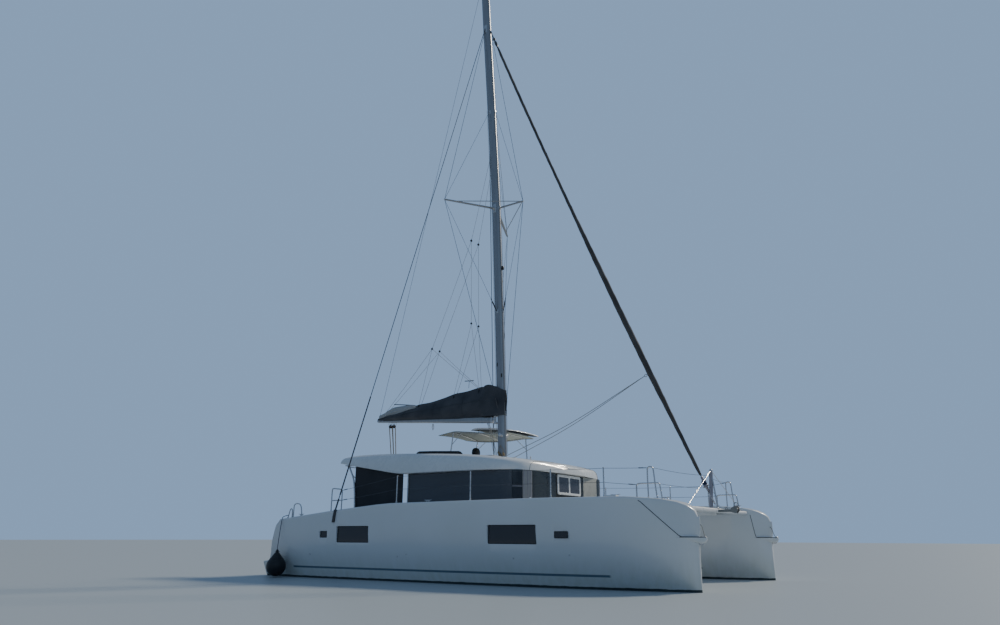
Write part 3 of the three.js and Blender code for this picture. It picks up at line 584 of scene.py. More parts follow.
greyPaint = plainFinish("greyPaint", (0.2, 0.22, 0.23), 0.45, 0.2)
engineIron = plainFinish("engineIron", (0.12, 0.16, 0.15), 0.5, 0.6, bump=0.4)
seamBlack = plainFinish("seamBlack", (0.014, 0.02, 0.026), 0.6)
print("finishes mixed")

# camera, light and floor

cameraSetup = {"place": (11.773, -18.864, 1.069), "turn": 33.34, "rise": 16.51, "roll": 0.22, "lens": 27.29}
lightSetup = {"world": (0.41, 0.62, 0.96), "worldPower": 0.34, "backdrop": 0.62, "sunTurn": (53, 0, 158),
              "sunPower": 3.0, "sunColor": (1.0, 0.91, 0.76), "sunSize": 8.0,
              "fillPlace": (14, -24, 12), "fillSize": 16.0, "fillPower": 110.0, "fillColor": (0.55, 0.77, 1.0)}
floorLook = {"size": 400.0, "color": (0.42, 0.47, 0.5), "roughness": 0.4}


def setUpStudio():
    look = cameraSetup
    camera = bpy.data.cameras.new("photoCamera")
    camera.lens = look["lens"]
    camera.sensor_width = 36
    camera.clip_end = 500
    eye = bpy.data.objects.new("photoCamera", camera)
    bpy.context.scene.collection.objects.link(eye)
    eye.matrix_world = (Matrix.Translation(look["place"]) @ Matrix.Rotation(math.radians(look["turn"]), 4, "Z")
                        @ Matrix.Rotation(math.radians(90 + look["rise"]), 4, "X")
                        @ Matrix.Rotation(math.radians(look["roll"]), 4, "Z"))
    bpy.context.scene.camera = eye
    world = bpy.data.worlds.new("studio")
    world.use_nodes = True
    tree = world.node_tree
    behind = addNode(tree, "LightPath").outputs["Is Camera Ray"]  # the backdrop is brighter than what it sheds
    power = addNode(tree, "MapRange", {"Value": behind, "To Min": lightSetup["worldPower"],
                                       "To Max": lightSetup["backdrop"]}).outputs["Result"]
    tree.nodes["Background"].inputs["Color"].default_value = (*lightSetup["world"], 1)
    tree.links.new(power, tree.nodes["Background"].inputs["Strength"])
    bpy.context.scene.world = world
    bpy.context.scene.view_settings.view_transform = "AgX"
    clear()
    bpy.ops.object.light_add(type="SUN", rotation=[math.radians(a) for a in lightSetup["sunTurn"]])
    active().data.energy = lightSetup["sunPower"]
    active().data.color = lightSetup["sunColor"]
    active().data.angle = math.radians(lightSetup["sunSize"])
    bpy.ops.object.light_add(type="AREA", location=lightSetup["fillPlace"])
    fill = active()  # it faces a point a little above the waterline
    fill.rotation_euler = (Vector((0, 0, 3)) - fill.location).to_track_quat("-Z", "Y").to_euler()
    fill.data.size = lightSetup["fillSize"]
    fill.data.energy = lightSetup["fillPower"]
    fill.data.color = lightSetup["fillColor"]
    clear()
    bpy.ops.mesh.primitive_plane_add(size=floorLook["size"])
    floor = active()
    floor.name = "floor"
    floor.data.materials.append(newFinish("floor", floorLook["color"], floorLook["roughness"])[0])


setUpStudio()
print("studio ready")

# the fender and its line hang at the starboard quarter

fenderLook = {"middle": (-5.4, -3.9, 0.285), "radius": 0.265, "top": 0.73, "ropeRadius": 0.009}
fenderRoute = [(-5.4, -3.9, 0.7303), (-5.4, -3.9, 0.77), (-5.402, -3.896, 0.83), (-5.415, -3.85, 1.2),
               (-5.425, -3.8, 1.53), (-5.432, -3.76, 1.59), (-5.44, -3.68, 1.62), (-5.428, -3.59, 1.64),
               (-5.42, -3.572, 1.645)]


def makeFender():
    look = fenderLook
    x, y, z = look["middle"]
    radius = look["radius"]
    neckStart = math.radians(52)
    profile = [(radius * math.cos(math.radians(a)), radius * math.sin(math.radians(a)))
               for a in range(-88, 53, 6)]
    last = (radius * math.cos(neckStart), radius * math.sin(neckStart))
    top = look["top"] - z
    profile += [(last[0] * (1 - t) + 0.034 * t, last[1] + (top - 0.07 - last[1]) * (t ** 0.8))
                for t in (0.15, 0.35, 0.55, 0.75, 0.9, 1)]
    profile += [(0.04, top - 0.06), (0.04, top - 0.035), (0.028, top - 0.015), (0.012, top - 0.001)]
    body = turnedShape(profile, (x, y, z), steps=40)
    bands = [hoop((x, y, z + 0.2), 0.182, 0.006), hoop((x, y, z + 0.38), 0.066, 0.005),
             turnedShape([(0.02, -radius + 0.004), (0.05, -radius + 0.001), (0.045, -radius + 0.03)],
                         (x, y, z + 0.006))]
    piece(joined([body, *bands]), "fenderBall", blackVinyl, slot="rubber", smooth=50, stands=["fender"])
    line = smoothPath(fenderRoute, 5)
    rope = piece(pipe(line, look["ropeRadius"], 10), "fenderRope", darkRope, slot="rope", smooth=60,
                 stands=["fender_line"])


makeFender()
print("fender hung")

# the two hulls

hullLook = {
    "centre": 2.89, "innerHalf": 0.62, "stem": 6.26, "ledge": 1.09, "crown": 0.05, "wallTop": 1.3,
    "deckHalf": [(-6.4, 0.8), (-5.5, 0.88), (-4.2, 0.935), (-2.0, 0.96), (1.5, 0.96), (3.0, 0.925), (4.2, 0.835),
                 (5.13, 0.68), (5.7, 0.48), (6.01, 0.33), (6.26, 0.1)],
    "waterHalf": [(-6.4, 0.43), (-5.0, 0.56), (-2.0, 0.62), (1.0, 0.61), (2.8, 0.52), (4.2, 0.37), (5.4, 0.19),
                  (6.26, 0.03)],
    "keel": [(-6.4, 0.04), (-5.5, -0.15), (-4.2, -0.4), (-2.0, -0.59), (0.5, -0.65), (3.0, -0.6), (5.0, -0.46),
             (6.0, -0.33), (6.26, -0.21)],
    "top": [(-6.4, 0.4), (-6.1, 0.43), (-5.96, 0.68), (-5.87, 0.98), (-5.71, 1.4), (-5.56, 1.54), (-5.33, 1.56),
            (-3.97, 1.69), (-3.57, 1.73), (-1.91, 1.865), (-1.43, 1.89), (1.03, 1.905), (2.77, 1.92),
            (4.89, 1.915), (5.35, 1.885), (5.62, 1.86), (5.89, 1.8), (6.06, 1.73), (6.2, 1.63), (6.26, 1.5)],
    "creaseOuter": (5.17, 1.86, 5.96), "creaseInner": (5.8, 1.8, 5.91), "stemBack": (0.072, 0.03),
    "steps": [(-6.5, -5.89, 0.38), (-5.891, -5.61, 0.66), (-5.611, -5.33, 0.94), (-5.331, -5.05, 1.22),
              (-5.051, -3.7, 1.5)],
    "stepSides": (2.47, 3.44), "well": (-4.76, -3.96, 2.64, 3.36, 0.04), "lidRebate": 0.04,
    "windows": [(-3.89, -3.6, 1.04, 1.21), (-3.26, -2.12, 0.92, 1.335), (1.55, 2.84, 0.92, 1.34),
                (3.29, 3.63, 1.05, 1.2)],
    "windowPlane": 3.775}


def curveThrough(rows):  # a smooth curve through rows of a place and a value
    def at(x):
        if x <= rows[0][0]:
            return rows[0][1]
        if x >= rows[-1][0]:
            return rows[-1][1]
        i = next(k for k in range(1, len(rows)) if x <= rows[k][0])
        (x0, v0), (x1, v1) = rows[i - 1], rows[i]
        xa, va = rows[i - 2] if i > 1 else (x1, v1)
        xb, vb = rows[i + 1] if i + 1 < len(rows) else (x0, v0)
        wa, wb = (x1 - x0) / 2 / (x0 - xa), (x1 - x0) / 2 / (xb - x1)
        p = (x - x0) / (x1 - x0)
        return (va * (-wa * p ** 3 + 2 * wa * p * p - wa * p)
                + v0 * ((1 + wa) * p ** 3 - (1.5 + 2 * wa) * p * p + (wa - 0.5) * p + 1)
                + v1 * (-(1 + wb) * p ** 3 + (1.5 + wb) * p * p + 0.5 * p)
                + vb * (wb * p ** 3 - wb * p * p))
    return at


def straightThrough(rows):
    def at(x):
        if x <= rows[0][0]:
            return rows[0][1]
        for (x0, v0), (x1, v1) in zip(rows, rows[1:]):
            if x <= x1:
                return v0 + (v1 - v0) * (x - x0) / (x1 - x0)
        return rows[-1][1]
    return at


beakRows = [  # place along the boat, half width (0 follows the hull) and depth
    (5.88, 0, 0.02), (5.95, 0, 0.06), (6.02, 0, 0.088), (6.12, 0, 0.112), (6.2, 0, 0.126),
    (6.26, 0.118, 0.138), (6.31, 0.1, 0.136), (6.35, 0.08, 0.122), (6.38, 0.052, 0.098), (6.395, 0.028, 0.07),
    (6.4, 0.012, 0.047)]
deckHalf = curveThrough(hullLook["deckHalf"])
waterHalf = curveThrough(hullLook["waterHalf"])
keelDepth = curveThrough(hullLook["keel"])
sheer = straightThrough(hullLook["top"])


def hullHalf(x, z):
    rise = min(max(z / hullLook["wallTop"], 0), 1)
    return waterHalf(x) + (deckHalf(x) - waterHalf(x)) * math.sin(rise * math.pi / 2) ** 0.9


def facetHalf(x, z, crease):  # the flat cut into the bow above its crease
    x0, z0, x1 = crease
    start = min(x0 + (z0 - z) * (x1 - x0) / (z0 - hullLook["ledge"]), x1)
    if x <= start:
        return hullHalf(x, z)
    wide = hullHalf(start, z)
    return wide + (0.03 - wide) * (x - start) / (hullLook["stem"] - start)


def creaseAt(x, crease):
    x0, z0, x1 = crease
    if x <= x0:
        return sheer(x) - 0.07
    return max(min(sheer(x) - 0.07, z0 - (x - x0) * (z0 - hullLook["ledge"]) / (x1 - x0)), hullLook["ledge"])


def hullSide(x, crease, limit):  # from the keel up one side, as distance from the hull's middle and height
    top, bend, crown = sheer(x), creaseAt(x, crease), hullLook["crown"]
    side = [(waterHalf(x) * math.sin(a), keelDepth(x) * math.cos(a)) for a in (0.25, 0.5, 0.8, 1.1, 1.35)]
    side += [(min(hullHalf(x, f * bend), limit), f * bend) for f in (0, 0.1, 0.22, 0.36, 0.5, 0.64, 0.78, 0.9)]
    side += [(min(hullHalf(x, bend - 0.004), limit), bend - 0.004)]
    for f in (0, 0.33, 0.66, 1):
        z = bend + (top - crown - bend) * f
        side.append((max(min(facetHalf(x, z, crease), limit), 0.03), z))
    wide = max(min(facetHalf(x, top - 0.01, crease), limit), 0.03)
    crown = min(crown, wide * 0.8)
    side += [(wide - crown * (1 - math.cos(a)), top - crown * (1 - math.sin(a))) for a in (0.4, 0.8, 1.2, 1.57)]
    return side


def hullShell():  # the port hull
    look = hullLook
    stations = {round(-6.4 + 0.16 * k, 3) for k in range(70)} | {x for x, _ in look["top"]}
    stations |= {round(4.75 + 0.05 * k, 3) for k in range(31)} | {look["creaseOuter"][2], look["creaseInner"][2]}
    rings = []
    for x in sorted(x for x in stations if x <= look["stem"]):
        outer = hullSide(x, look["creaseOuter"], 9)
        inner = hullSide(x, look["creaseInner"], look["innerHalf"])
        ring = [(0, keelDepth(x)), *outer, *((-t, z) for t, z in reversed(inner))]
        rings.append([Vector((x, look["centre"] + t, z)) for t, z in ring])
    last = rings[-1]
    for ahead, narrow in ((0.022, 0.8), (0.034, 0.45), (0.038, 0.12)):  # rounded stem
        rings.append([Vector((look["stem"] + ahead, look["centre"] + (p.y - look["centre"]) * narrow, p.z))
                      for p in last])
    below, above = look["stemBack"]
    for ring in rings:  # the stem stands a little aft of a plumb line through the nose
        for point in ring:
            forward = min(max((point.x - 5.95) / (look["stem"] - 5.95), 0), 1)
            upward = min(max((point.z - look["ledge"] + 0.03) / 0.06, 0), 1)
            point.x -= forward ** 2 * (below + (above - below) * upward)
    return skin(rings)


def beakHalf(x, wide):  # rows of the beak without a width of their own follow the hull
    return wide if wide else hullHalf(x, hullLook["ledge"] - 0.04) + 0.012


def noseShape():  # a beak under the ledge that swells out of the bow and ends round
    look = hullLook
    rings = []
    for x, wide, deep in beakRows:
        wide = beakHalf(x, wide)
        half = [(0, 0), (wide * 0.7, 0), (wide - 0.012, 0), (wide, 0.014), (wide * 0.97, deep * 0.36),
                (wide * 0.86, deep * 0.66), (wide * 0.68, deep * 0.86), (wide * 0.42, deep * 0.97), (0, deep)]
        rings.append([Vector((x, look["centre"] + t, look["ledge"] - d))
                      for t, d in [*half, *((-t, d) for t, d in reversed(half[1:-1]))]])
    return skin(rings)


def makeHulls():
    look = hullLook
    hull = weld(hullShell(), 0.0004)
    nose = noseShape()
    modify(hull, "BOOLEAN", operation="UNION", solver="EXACT", object=nose)
    bpy.data.objects.remove(nose)
    low, high = look["stepSides"]
    cutters = [block((x0, low, z), (x1, high, 2.5)) for x0, x1, z in look["steps"]]
    x0, x1, y0, y1, bottom = look["well"]
    cutters.append(block((x0, y0, bottom), (x1, y1, 1.7)))
    cutters.append(block((x0 - 0.04, y0 - 0.04, 1.5 - look["lidRebate"]), (x1 + 0.04, y1 + 0.04, 1.7)))
    cutters += [windowHole(a, b, look["windowPlane"], 4.2, c, d) for a, b, c, d in look["windows"]]
    cutAway(hull, cutters)
    editMesh(hull, "EDGE")
    mesh = bmesh.from_edit_mesh(hull.data)
    for edge in mesh.edges:  # the cut edges of the steps, the lid's rebate and the windows
        a, b = edge.verts[0].co, edge.verts[1].co
        inSteps = max(a.x, b.x) < -3.6 and min(a.z, b.z) > 0.3 and low - 0.03 < (a.y + b.y) / 2 < high + 0.03
        inWindow = min(a.y, b.y) > look["windowPlane"] - 0.01 and 0.9 < a.z < 1.36 and a.x < 3.7
        sharp = len(edge.link_faces) == 2 and edge.calc_face_angle(0) > math.radians(50)
        edge.select_set(sharp and (inSteps or inWindow))
    bmesh.update_edit_mesh(hull.data)
    bpy.ops.mesh.bevel(offset=0.007, segments=2, clamp_overlap=True)
    doneEditing()
    port = piece(hull, "hullPort", hullGelcoat, slot="gelcoat", smooth=28, stands=["hull_port"])
    piece(mirroredCopy(port), "hullStarboard", hullGelcoat, slot="gelcoat", smooth=28, stands=["hull_starboard"])


def makeHullWindows():
    look = hullLook
    plane = look["windowPlane"]
    panes, frames = [], []
    for x0, x1, z0, z1 in look["windows"]:
        panes.append(windowHole(x0 + 0.006, x1 - 0.006, plane + 0.002, plane + 0.012, z0 + 0.006, z1 - 0.006))
        seal = windowHole(x0 + 0.001, x1 - 0.001, plane + 0.001, plane + 0.016, z0 + 0.001, z1 - 0.001)
        cutAway(seal, [windowHole(x0 + 0.016, x1 - 0.016, plane - 0.1, plane + 0.1, z0 + 0.016, z1 - 0.016)])
        frames.append(seal)
    pair(joined(panes), "hullPanes", hullGlass, "glazing", 20)
    pair(joined(frames), "hullWindowSeals", seamBlack, "black_plastic", 20)


makeHulls()
makeHullWindows()
print("hulls shaped")

# dark beads along the bow's creases and round the nose: a dark seam with painted shadow of the creases and the
# ledge's edge

creaseShadowBeadLook = {"radius": 0.007, "proud": 0.002, "behind": 0.008, "start": 5.94}


def makeCreaseShadowBeads():
    look, radius = hullLook, creaseShadowBeadLook["radius"]
    lines = []
    for crease, sign, limit in ((look["creaseOuter"], 1, 9), (look["creaseInner"], -1, look["innerHalf"])):
        line = []
        for x in between(crease[0] + 0.02, look["stem"], 23):
            z = creaseAt(x, crease)
            wide = min(hullHalf(x, z), limit)
            line.append((x, look["centre"] + sign * (wide + creaseShadowBeadLook["proud"]), z))
        lines.append(pipe(line, radius, 8))
    edge = [(x - creaseShadowBeadLook["behind"], beakHalf(x, wide)) for x, wide, _ in beakRows if x > creaseShadowBeadLook["start"]]
    for side in (-1, 1):
        lines.append(pipe([(x, look["centre"] + side * wide, look["ledge"] - 0.006) for x, wide in edge],
                          radius, 8))
    # the beads carry painted shadow of the creases and of the ledge's edge, in a dark finish
    pair(joined(lines), "bowCreaseShadowBead", seamBlack, "black_plastic", 50)


makeCreaseShadowBeads()
print("bow beads laid")

# bridgedeck, centre beam and keels with eased edges, and the front beam

dressedPieces = {
    "bridgedeck": ("bridgedeckShell", "gelcoat", 0.012),
    "centre_beam": ("longBeam", "alloy", 0.008), "keel_starboard": ("keelStarboard", "antifouling", 0.02),
    "keel_port": ("keelPort", "antifouling", 0.02)}


def makeDressed():
    coats = {"gelcoat": gelcoat, "alloy": sparWhite, "antifouling": bottomPaint}
    for node, (name, slot, round) in dressedPieces.items():
        dressed(node, name, coats[slot], slot=slot, round=round)


beamLook = {"x": 5.714, "z": 1.708, "radius": 0.055, "reach": 2.4, "band": 0.062, "strip": 2.2,
            "bands": (-2.2, -1.1, -0.16, 0.16, 1.1, 2.2)}


def makeFrontBeam():
    look = beamLook
    x, z, radius, reach, strip = (look[key] for key in ("x", "z", "radius", "reach", "strip"))
    parts = [pole((x, -reach, z), (x, reach, z), radius, sides=32),
             block((x - radius - 0.012, -strip, z - 0.014), (x - radius + 0.01, strip, z + 0.014), 0.004, 2)]
    for y in look["bands"]:
        parts.append(softenEdges(pole((x, y - 0.03, z), (x, y + 0.03, z), look["band"], sides=32), 0.003, 2, 40))
    piece(joined(parts), "frontBeam", sparWhite, slot="alloy", smooth=35, stands=["crossbeam"])


makeDressed()
makeFrontBeam()
print("bridgedeck and keels done")

# saloon: wall, the glazing band that covers it outside, front window and aft bulkhead

saloonLook = {"aft": -2.0, "half": 2.45, "front": 1.64, "corner": 0.7, "thick": 0.05, "low": 1.955,
              "high": 2.712,
              "sill": 1.985, "head": 2.655, "frameLow": 2.172, "paneThick": 0.007, "paneOff": 0.004}
straightRun = saloonLook["front"] - saloonLook["corner"] - saloonLook["aft"]
cornerRun = saloonLook["corner"] * math.pi / 2
frontRun = saloonLook["half"] - saloonLook["corner"]


def onPlan(run, out=0.0):  # a point of the port wall's outline at a length from its aft end
    look = saloonLook
    if run < straightRun:
        return (look["aft"] + run, look["half"] + out)
    if run < straightRun + cornerRun:
        angle = math.pi / 2 - (run - straightRun) / look["corner"]
        return (look["front"] - look["corner"] + (look["corner"] + out) * math.cos(angle),
                look["half"] - look["corner"] + (look["corner"] + out) * math.sin(angle))
    return (look["front"] + out, frontRun - (run - straightRun - cornerRun))


def alongSide(x):
    return x - saloonLook["aft"]


def alongCorner(degrees):  # 90 at the side, 0 at the front
    return straightRun + saloonLook["corner"] * math.radians(90 - degrees)


def alongFront(y):
    return straightRun + cornerRun + frontRun - y


def wallStrip(start, end, low, high, inner, outer):  # a strip of wall between two lengths along the outline
    bends = [straightRun + cornerRun * k / 12 for k in range(13)]
    marks = sorted({start, end, *(mark for mark in bends if start < mark < end)})
    rings = []
    for mark in marks:
        (xa, ya), (xb, yb) = onPlan(mark, inner), onPlan(mark, outer)
        rings.append([Vector(p) for p in ((xa, ya, low), (xb, yb, low), (xb, yb, high), (xa, ya, high))])
    return skin(rings)


paneRuns = {  # where each kind of pane starts and ends along the wall's outline
    "dark": [(alongSide(-1.998), alongCorner(60))], "black": [(alongCorner(59.4), alongCorner(38))],
    "post": [(alongCorner(37.6), alongCorner(14))],
    "grey": [(alongCorner(13.4), alongFront(1.21)), (alongFront(1.195), alongFront(0.725))]}
paneKinds = {  # piece, finish, slot and the nodes that it replaces
    "dark": ("saloonPanesDark", darkGlass, "glazing", ["side_window_starboard", "side_window_port"]),
    "black": ("saloonPanesCorner", cornerGlass, "glazing", []),
    "grey": ("saloonPanesGrey", greyGlass, "glazing", ["front_window_starboard", "front_window_port"]),
    "post": ("saloonCornerPosts", greyPlastic, "black_plastic", [])}


def makeSaloon():
    look = saloonLook
    sill, head, front, end = look["sill"], look["head"], look["front"], alongFront(0.0)
    runs = [(0, end, 1.85, sill), (0, end, head, 2.72), (0, alongSide(-1.8), sill, head),
            (alongSide(0.9), alongCorner(84), sill, head), (alongFront(0.72), alongFront(0.62), sill, head),
            (alongFront(0.62), end, sill, look["frameLow"] + 0.03)]
    port = joined([wallStrip(*run, -look["thick"], 0) for run in runs])
    shell = joined([port, mirroredCopy(port)])
    shell.data.materials.append(gelcoat)
    shell.data.materials.append(seamBlack)
    for face in shell.data.polygons:
        x, y, z = face.center
        outward = face.normal.x * (x - 0.5) + face.normal.y * y > 0.2
        face.material_index = 1 if outward and z > 1.95 else 0
    piece(shell, "saloonWalls", None, slot="gelcoat", stands=["saloon_walls"])
    off = look["paneOff"]
    for kind, (name, finish, slot, stands) in paneKinds.items():
        strips = [wallStrip(*run, look["low"], look["high"], off, off + look["paneThick"])
                  for run in paneRuns[kind]]
        side = joined([softenEdges(strip, 0.002, 1, 60) for strip in strips])
        piece(joined([side, mirroredCopy(side)]), name, finish, slot=slot, smooth=25, stands=stands)
    slats = [0.85 + 0.076 * k for k in range(11)]
    shade = [wallStrip(alongFront(y + 0.064), alongFront(y), 1.96, 2.705, 0.0115, 0.019) for y in slats]
    shade += [wallStrip(alongFront(1.7), alongFront(0.84), z, z + 0.03, 0.0112, 0.022) for z in (1.96, 2.675)]
    piece(softenEdges(joined(shade), 0.004, 2, 50), "frontShadePort", paleShade, slot="black_plastic", smooth=40)
    lines = [wallStrip(alongCorner(a), alongCorner(a - 1.2), 1.96, 2.705, 0.0112, 0.018)
             for a in (35.0, 26.5, 18.5)]
    lines.append(wallStrip(alongCorner(59.2), alongCorner(38.2), 2.3, 2.316, 0.0112, 0.015))
    lines = joined(lines)
    piece(joined([lines, mirroredCopy(lines)]), "saloonCornerLines", greyMauve, slot="black_plastic", smooth=30)
    low = look["frameLow"]
    frontFrame = windowHole(-0.66, 0.66, front + 0.002, front + 0.034, low, 2.7, 0.05)
    cutAway(frontFrame, [windowHole(a, b, front - 0.1, front + 0.1, low + 0.06, 2.635, 0.03)
                         for a, b in ((-0.59, -0.035), (0.035, 0.59))])
    softenEdges(frontFrame, 0.006, 2, 40)
    pane = joined([windowHole(a, b, front + 0.012, front + 0.02, low + 0.055, 2.64, 0.03)
                   for a, b in ((-0.6, -0.03), (0.03, 0.6))])
    for obj in (frontFrame, pane):  # made lying along X, then turned to face forward
        obj.rotation_euler.z = -math.pi / 2
        settle(obj)
    piece(frontFrame, "frontWindowFrame", gelcoat, slot="gelcoat", smooth=30)
    piece(pane, "frontWindowPanes", darkGlass, slot="glazing", smooth=25, stands=["front_window_centre"])


makeSaloon()
dressed("aft_bulkhead", "aftBulkhead", gelcoat, slot="gelcoat", round=0.006)
dressed("aft_window", "aftWindowPane", darkGlass, slot="glazing", round=0.003)
print("saloon walls and panes up")

# the coachroof, one smooth moulding

roofLook = {
    "aft": -4.95, "front": 1.8,
    "half": [(-4.95, 1.9), (-4.7, 2.38), (-4.2, 2.58), (-3.2, 2.69), (-2.0, 2.72), (0.3, 2.7), (0.9, 2.58),
             (1.3, 2.35), (1.6, 1.85), (1.8, 0.7)],
    "lower": [(-4.95, 3.175), (-4.43, 3.1), (-3.92, 3.01), (-2.36, 2.75), (-2.06, 2.72), (1.8, 2.72)],
    "upper": [(-4.95, 3.285), (-4.46, 3.325), (-3.25, 3.32), (-1.25, 3.23), (0.08, 3.14), (1.02, 3.04),
              (1.6, 2.945), (1.8, 2.86)],
    "ceiling": 2.9, "cockpitCeiling": 2.99, "well": (-3.46, -2.1, 0.43, 1.99), "seamX": 1.57,
    "recess": (-1.94, 1.5, 2.31, 0.56)}
roofHalf = curveThrough(roofLook["half"])
roofLower = straightThrough(roofLook["lower"])
roofUpper = curveThrough(roofLook["upper"])


def roofRing(x, shrink=0.0):
    half, low, high = roofHalf(x) - shrink, roofLower(x) + shrink * 0.4, roofUpper(x) - shrink * 0.4
    tall = high - low
    side = [(0, half - 0.13, low), (0, half - 0.02, low), (0, half, low + tall * 0.1),
            (0, half - 0.03, low + tall * 0.45),
            (0, half - 0.11, high - tall * 0.2), (0, half - 0.24, high - 0.004), (0, half - 0.4, high + 0.016),
            (0, half * 0.5, high + 0.045), (0, half * 0.2, high + 0.055)]
    curve = smoothPath(side, 4)
    return [Vector((x, p.y, p.z)) for p in curve] + [Vector((x, -p.y, p.z)) for p in reversed(curve)]


def makeRoof():
    look = roofLook
    marks = {look["aft"] + 0.1 * k for k in range(66)} | {1.5, 1.56, 1.62, 1.67, 1.71, 1.74, 1.765, 1.785, 1.8}
    rings = [roofRing(look["aft"], 0.045), roofRing(look["aft"] + 0.012, 0.02)]
    rings[0] = [Vector((look["aft"] + 0.002, p.y, p.z)) for p in rings[0]]
    rings += [roofRing(x) for x in sorted(marks) if look["aft"] + 0.03 < x]
    rings.append([Vector((1.815, p.y * 0.93, p.z * 0.8 + 2.79 * 0.2)) for p in rings[-1]])
    rings.append([Vector((1.822, p.y * 0.8, p.z * 0.45 + 2.79 * 0.55)) for p in rings[-2]])
    roof = skin(rings)
    aft, front, half, corner = look["recess"]
    recess = [(aft, half)]
    recess += [(front - corner + corner * math.cos(a), half - corner + corner * math.sin(a))
               for a in (math.radians(90 - 15 * k) for k in range(7))]
    recess += [(x, -y) for x, y in reversed(recess)]
    x0, x1, y0, y1 = look["well"]
    cutters = [board(recess, "z", 2.6, look["ceiling"]), slab(x0, x1, y0, y1, 2.5, 3.6, 0.08),
               block((-2.14, -2.3, 2.6), (-1.97, 2.3, 2.8803)),
               block((-3.9, -2.25, 2.6), (-2.139, 2.25, look["cockpitCeiling"]))]
    cutAway(roof, cutters)
    piece(roof, "coachroof", gelcoat, slot="gelcoat", smooth=30, stands=["coachroof"])


makeRoof()
print("coachroof moulded")

# mast with its track, fittings, masthead gear and halyards

mastLook = {
    "line": [(3.0, -0.52), (4.4, -0.558), (5.9, -0.6), (9.5, -0.725), (11.3, -0.795), (13.5, -0.92),
             (15.8, -1.06), (18.0, -1.205), (19.6, -1.3), (21.0, -1.385)],
    "long": 0.145, "wide": 0.088, "foot": 3.08, "top": 20.26, "limit": 20.49, "spreaders": 11.3, "hounds": 18.3,
    "pin": (-0.79, 4.44), "wireEnds": (4.62, 7.8, 14.9),
    "exits": [(5.75, 60), (5.75, -60), (6.1, 120), (6.1, -120), (4.95, 40), (4.95, -40)],
    "hanks": [(-0.61, -0.13, 3.46, 0.06, 0.085), (-0.44, -0.12, 3.43, 0.03, 0.07),
              (-0.56, 0.13, 3.45, 0.03, 0.08), (-0.7, 0.12, 3.47, -0.02, 0.08)]}
mastX = curveThrough(mastLook["line"])


def onMast(z, degrees, out=0.0):  # a point of the mast's skin, 0 degrees ahead and 90 to port
    a = math.radians(degrees)
    return Vector((mastX(z) + (mastLook["long"] + out) * math.cos(a), (mastLook["wide"] + out) * math.sin(a), z))


def mastLine(degrees, low, high, out, radius):  # a line that follows the bent mast
    return pipe([onMast(z, degrees, out) for z in between(low, high, 14)], radius, 6)


def smallBlock(at, size=0.035, toward=(0, 0, 1)):  # a sheave between two cheeks with its shackle
    at, toward = Vector(at), Vector(toward).normalized()
    side = toward.cross(Vector((1, 0, 0.2))).normalized()
    parts = [pole(at + side * (s - 0.25) * size, at + side * (s + 0.25) * size, size, size * 0.85, 14)
             for s in (-0.45, 0.45)]
    parts.append(pole(at - side * size * 0.5, at + side * size * 0.5, size * 0.75, sides=12))
    parts.append(pole(at, at + toward * size * 1.7, size * 0.22, sides=8))
    return joined(parts)


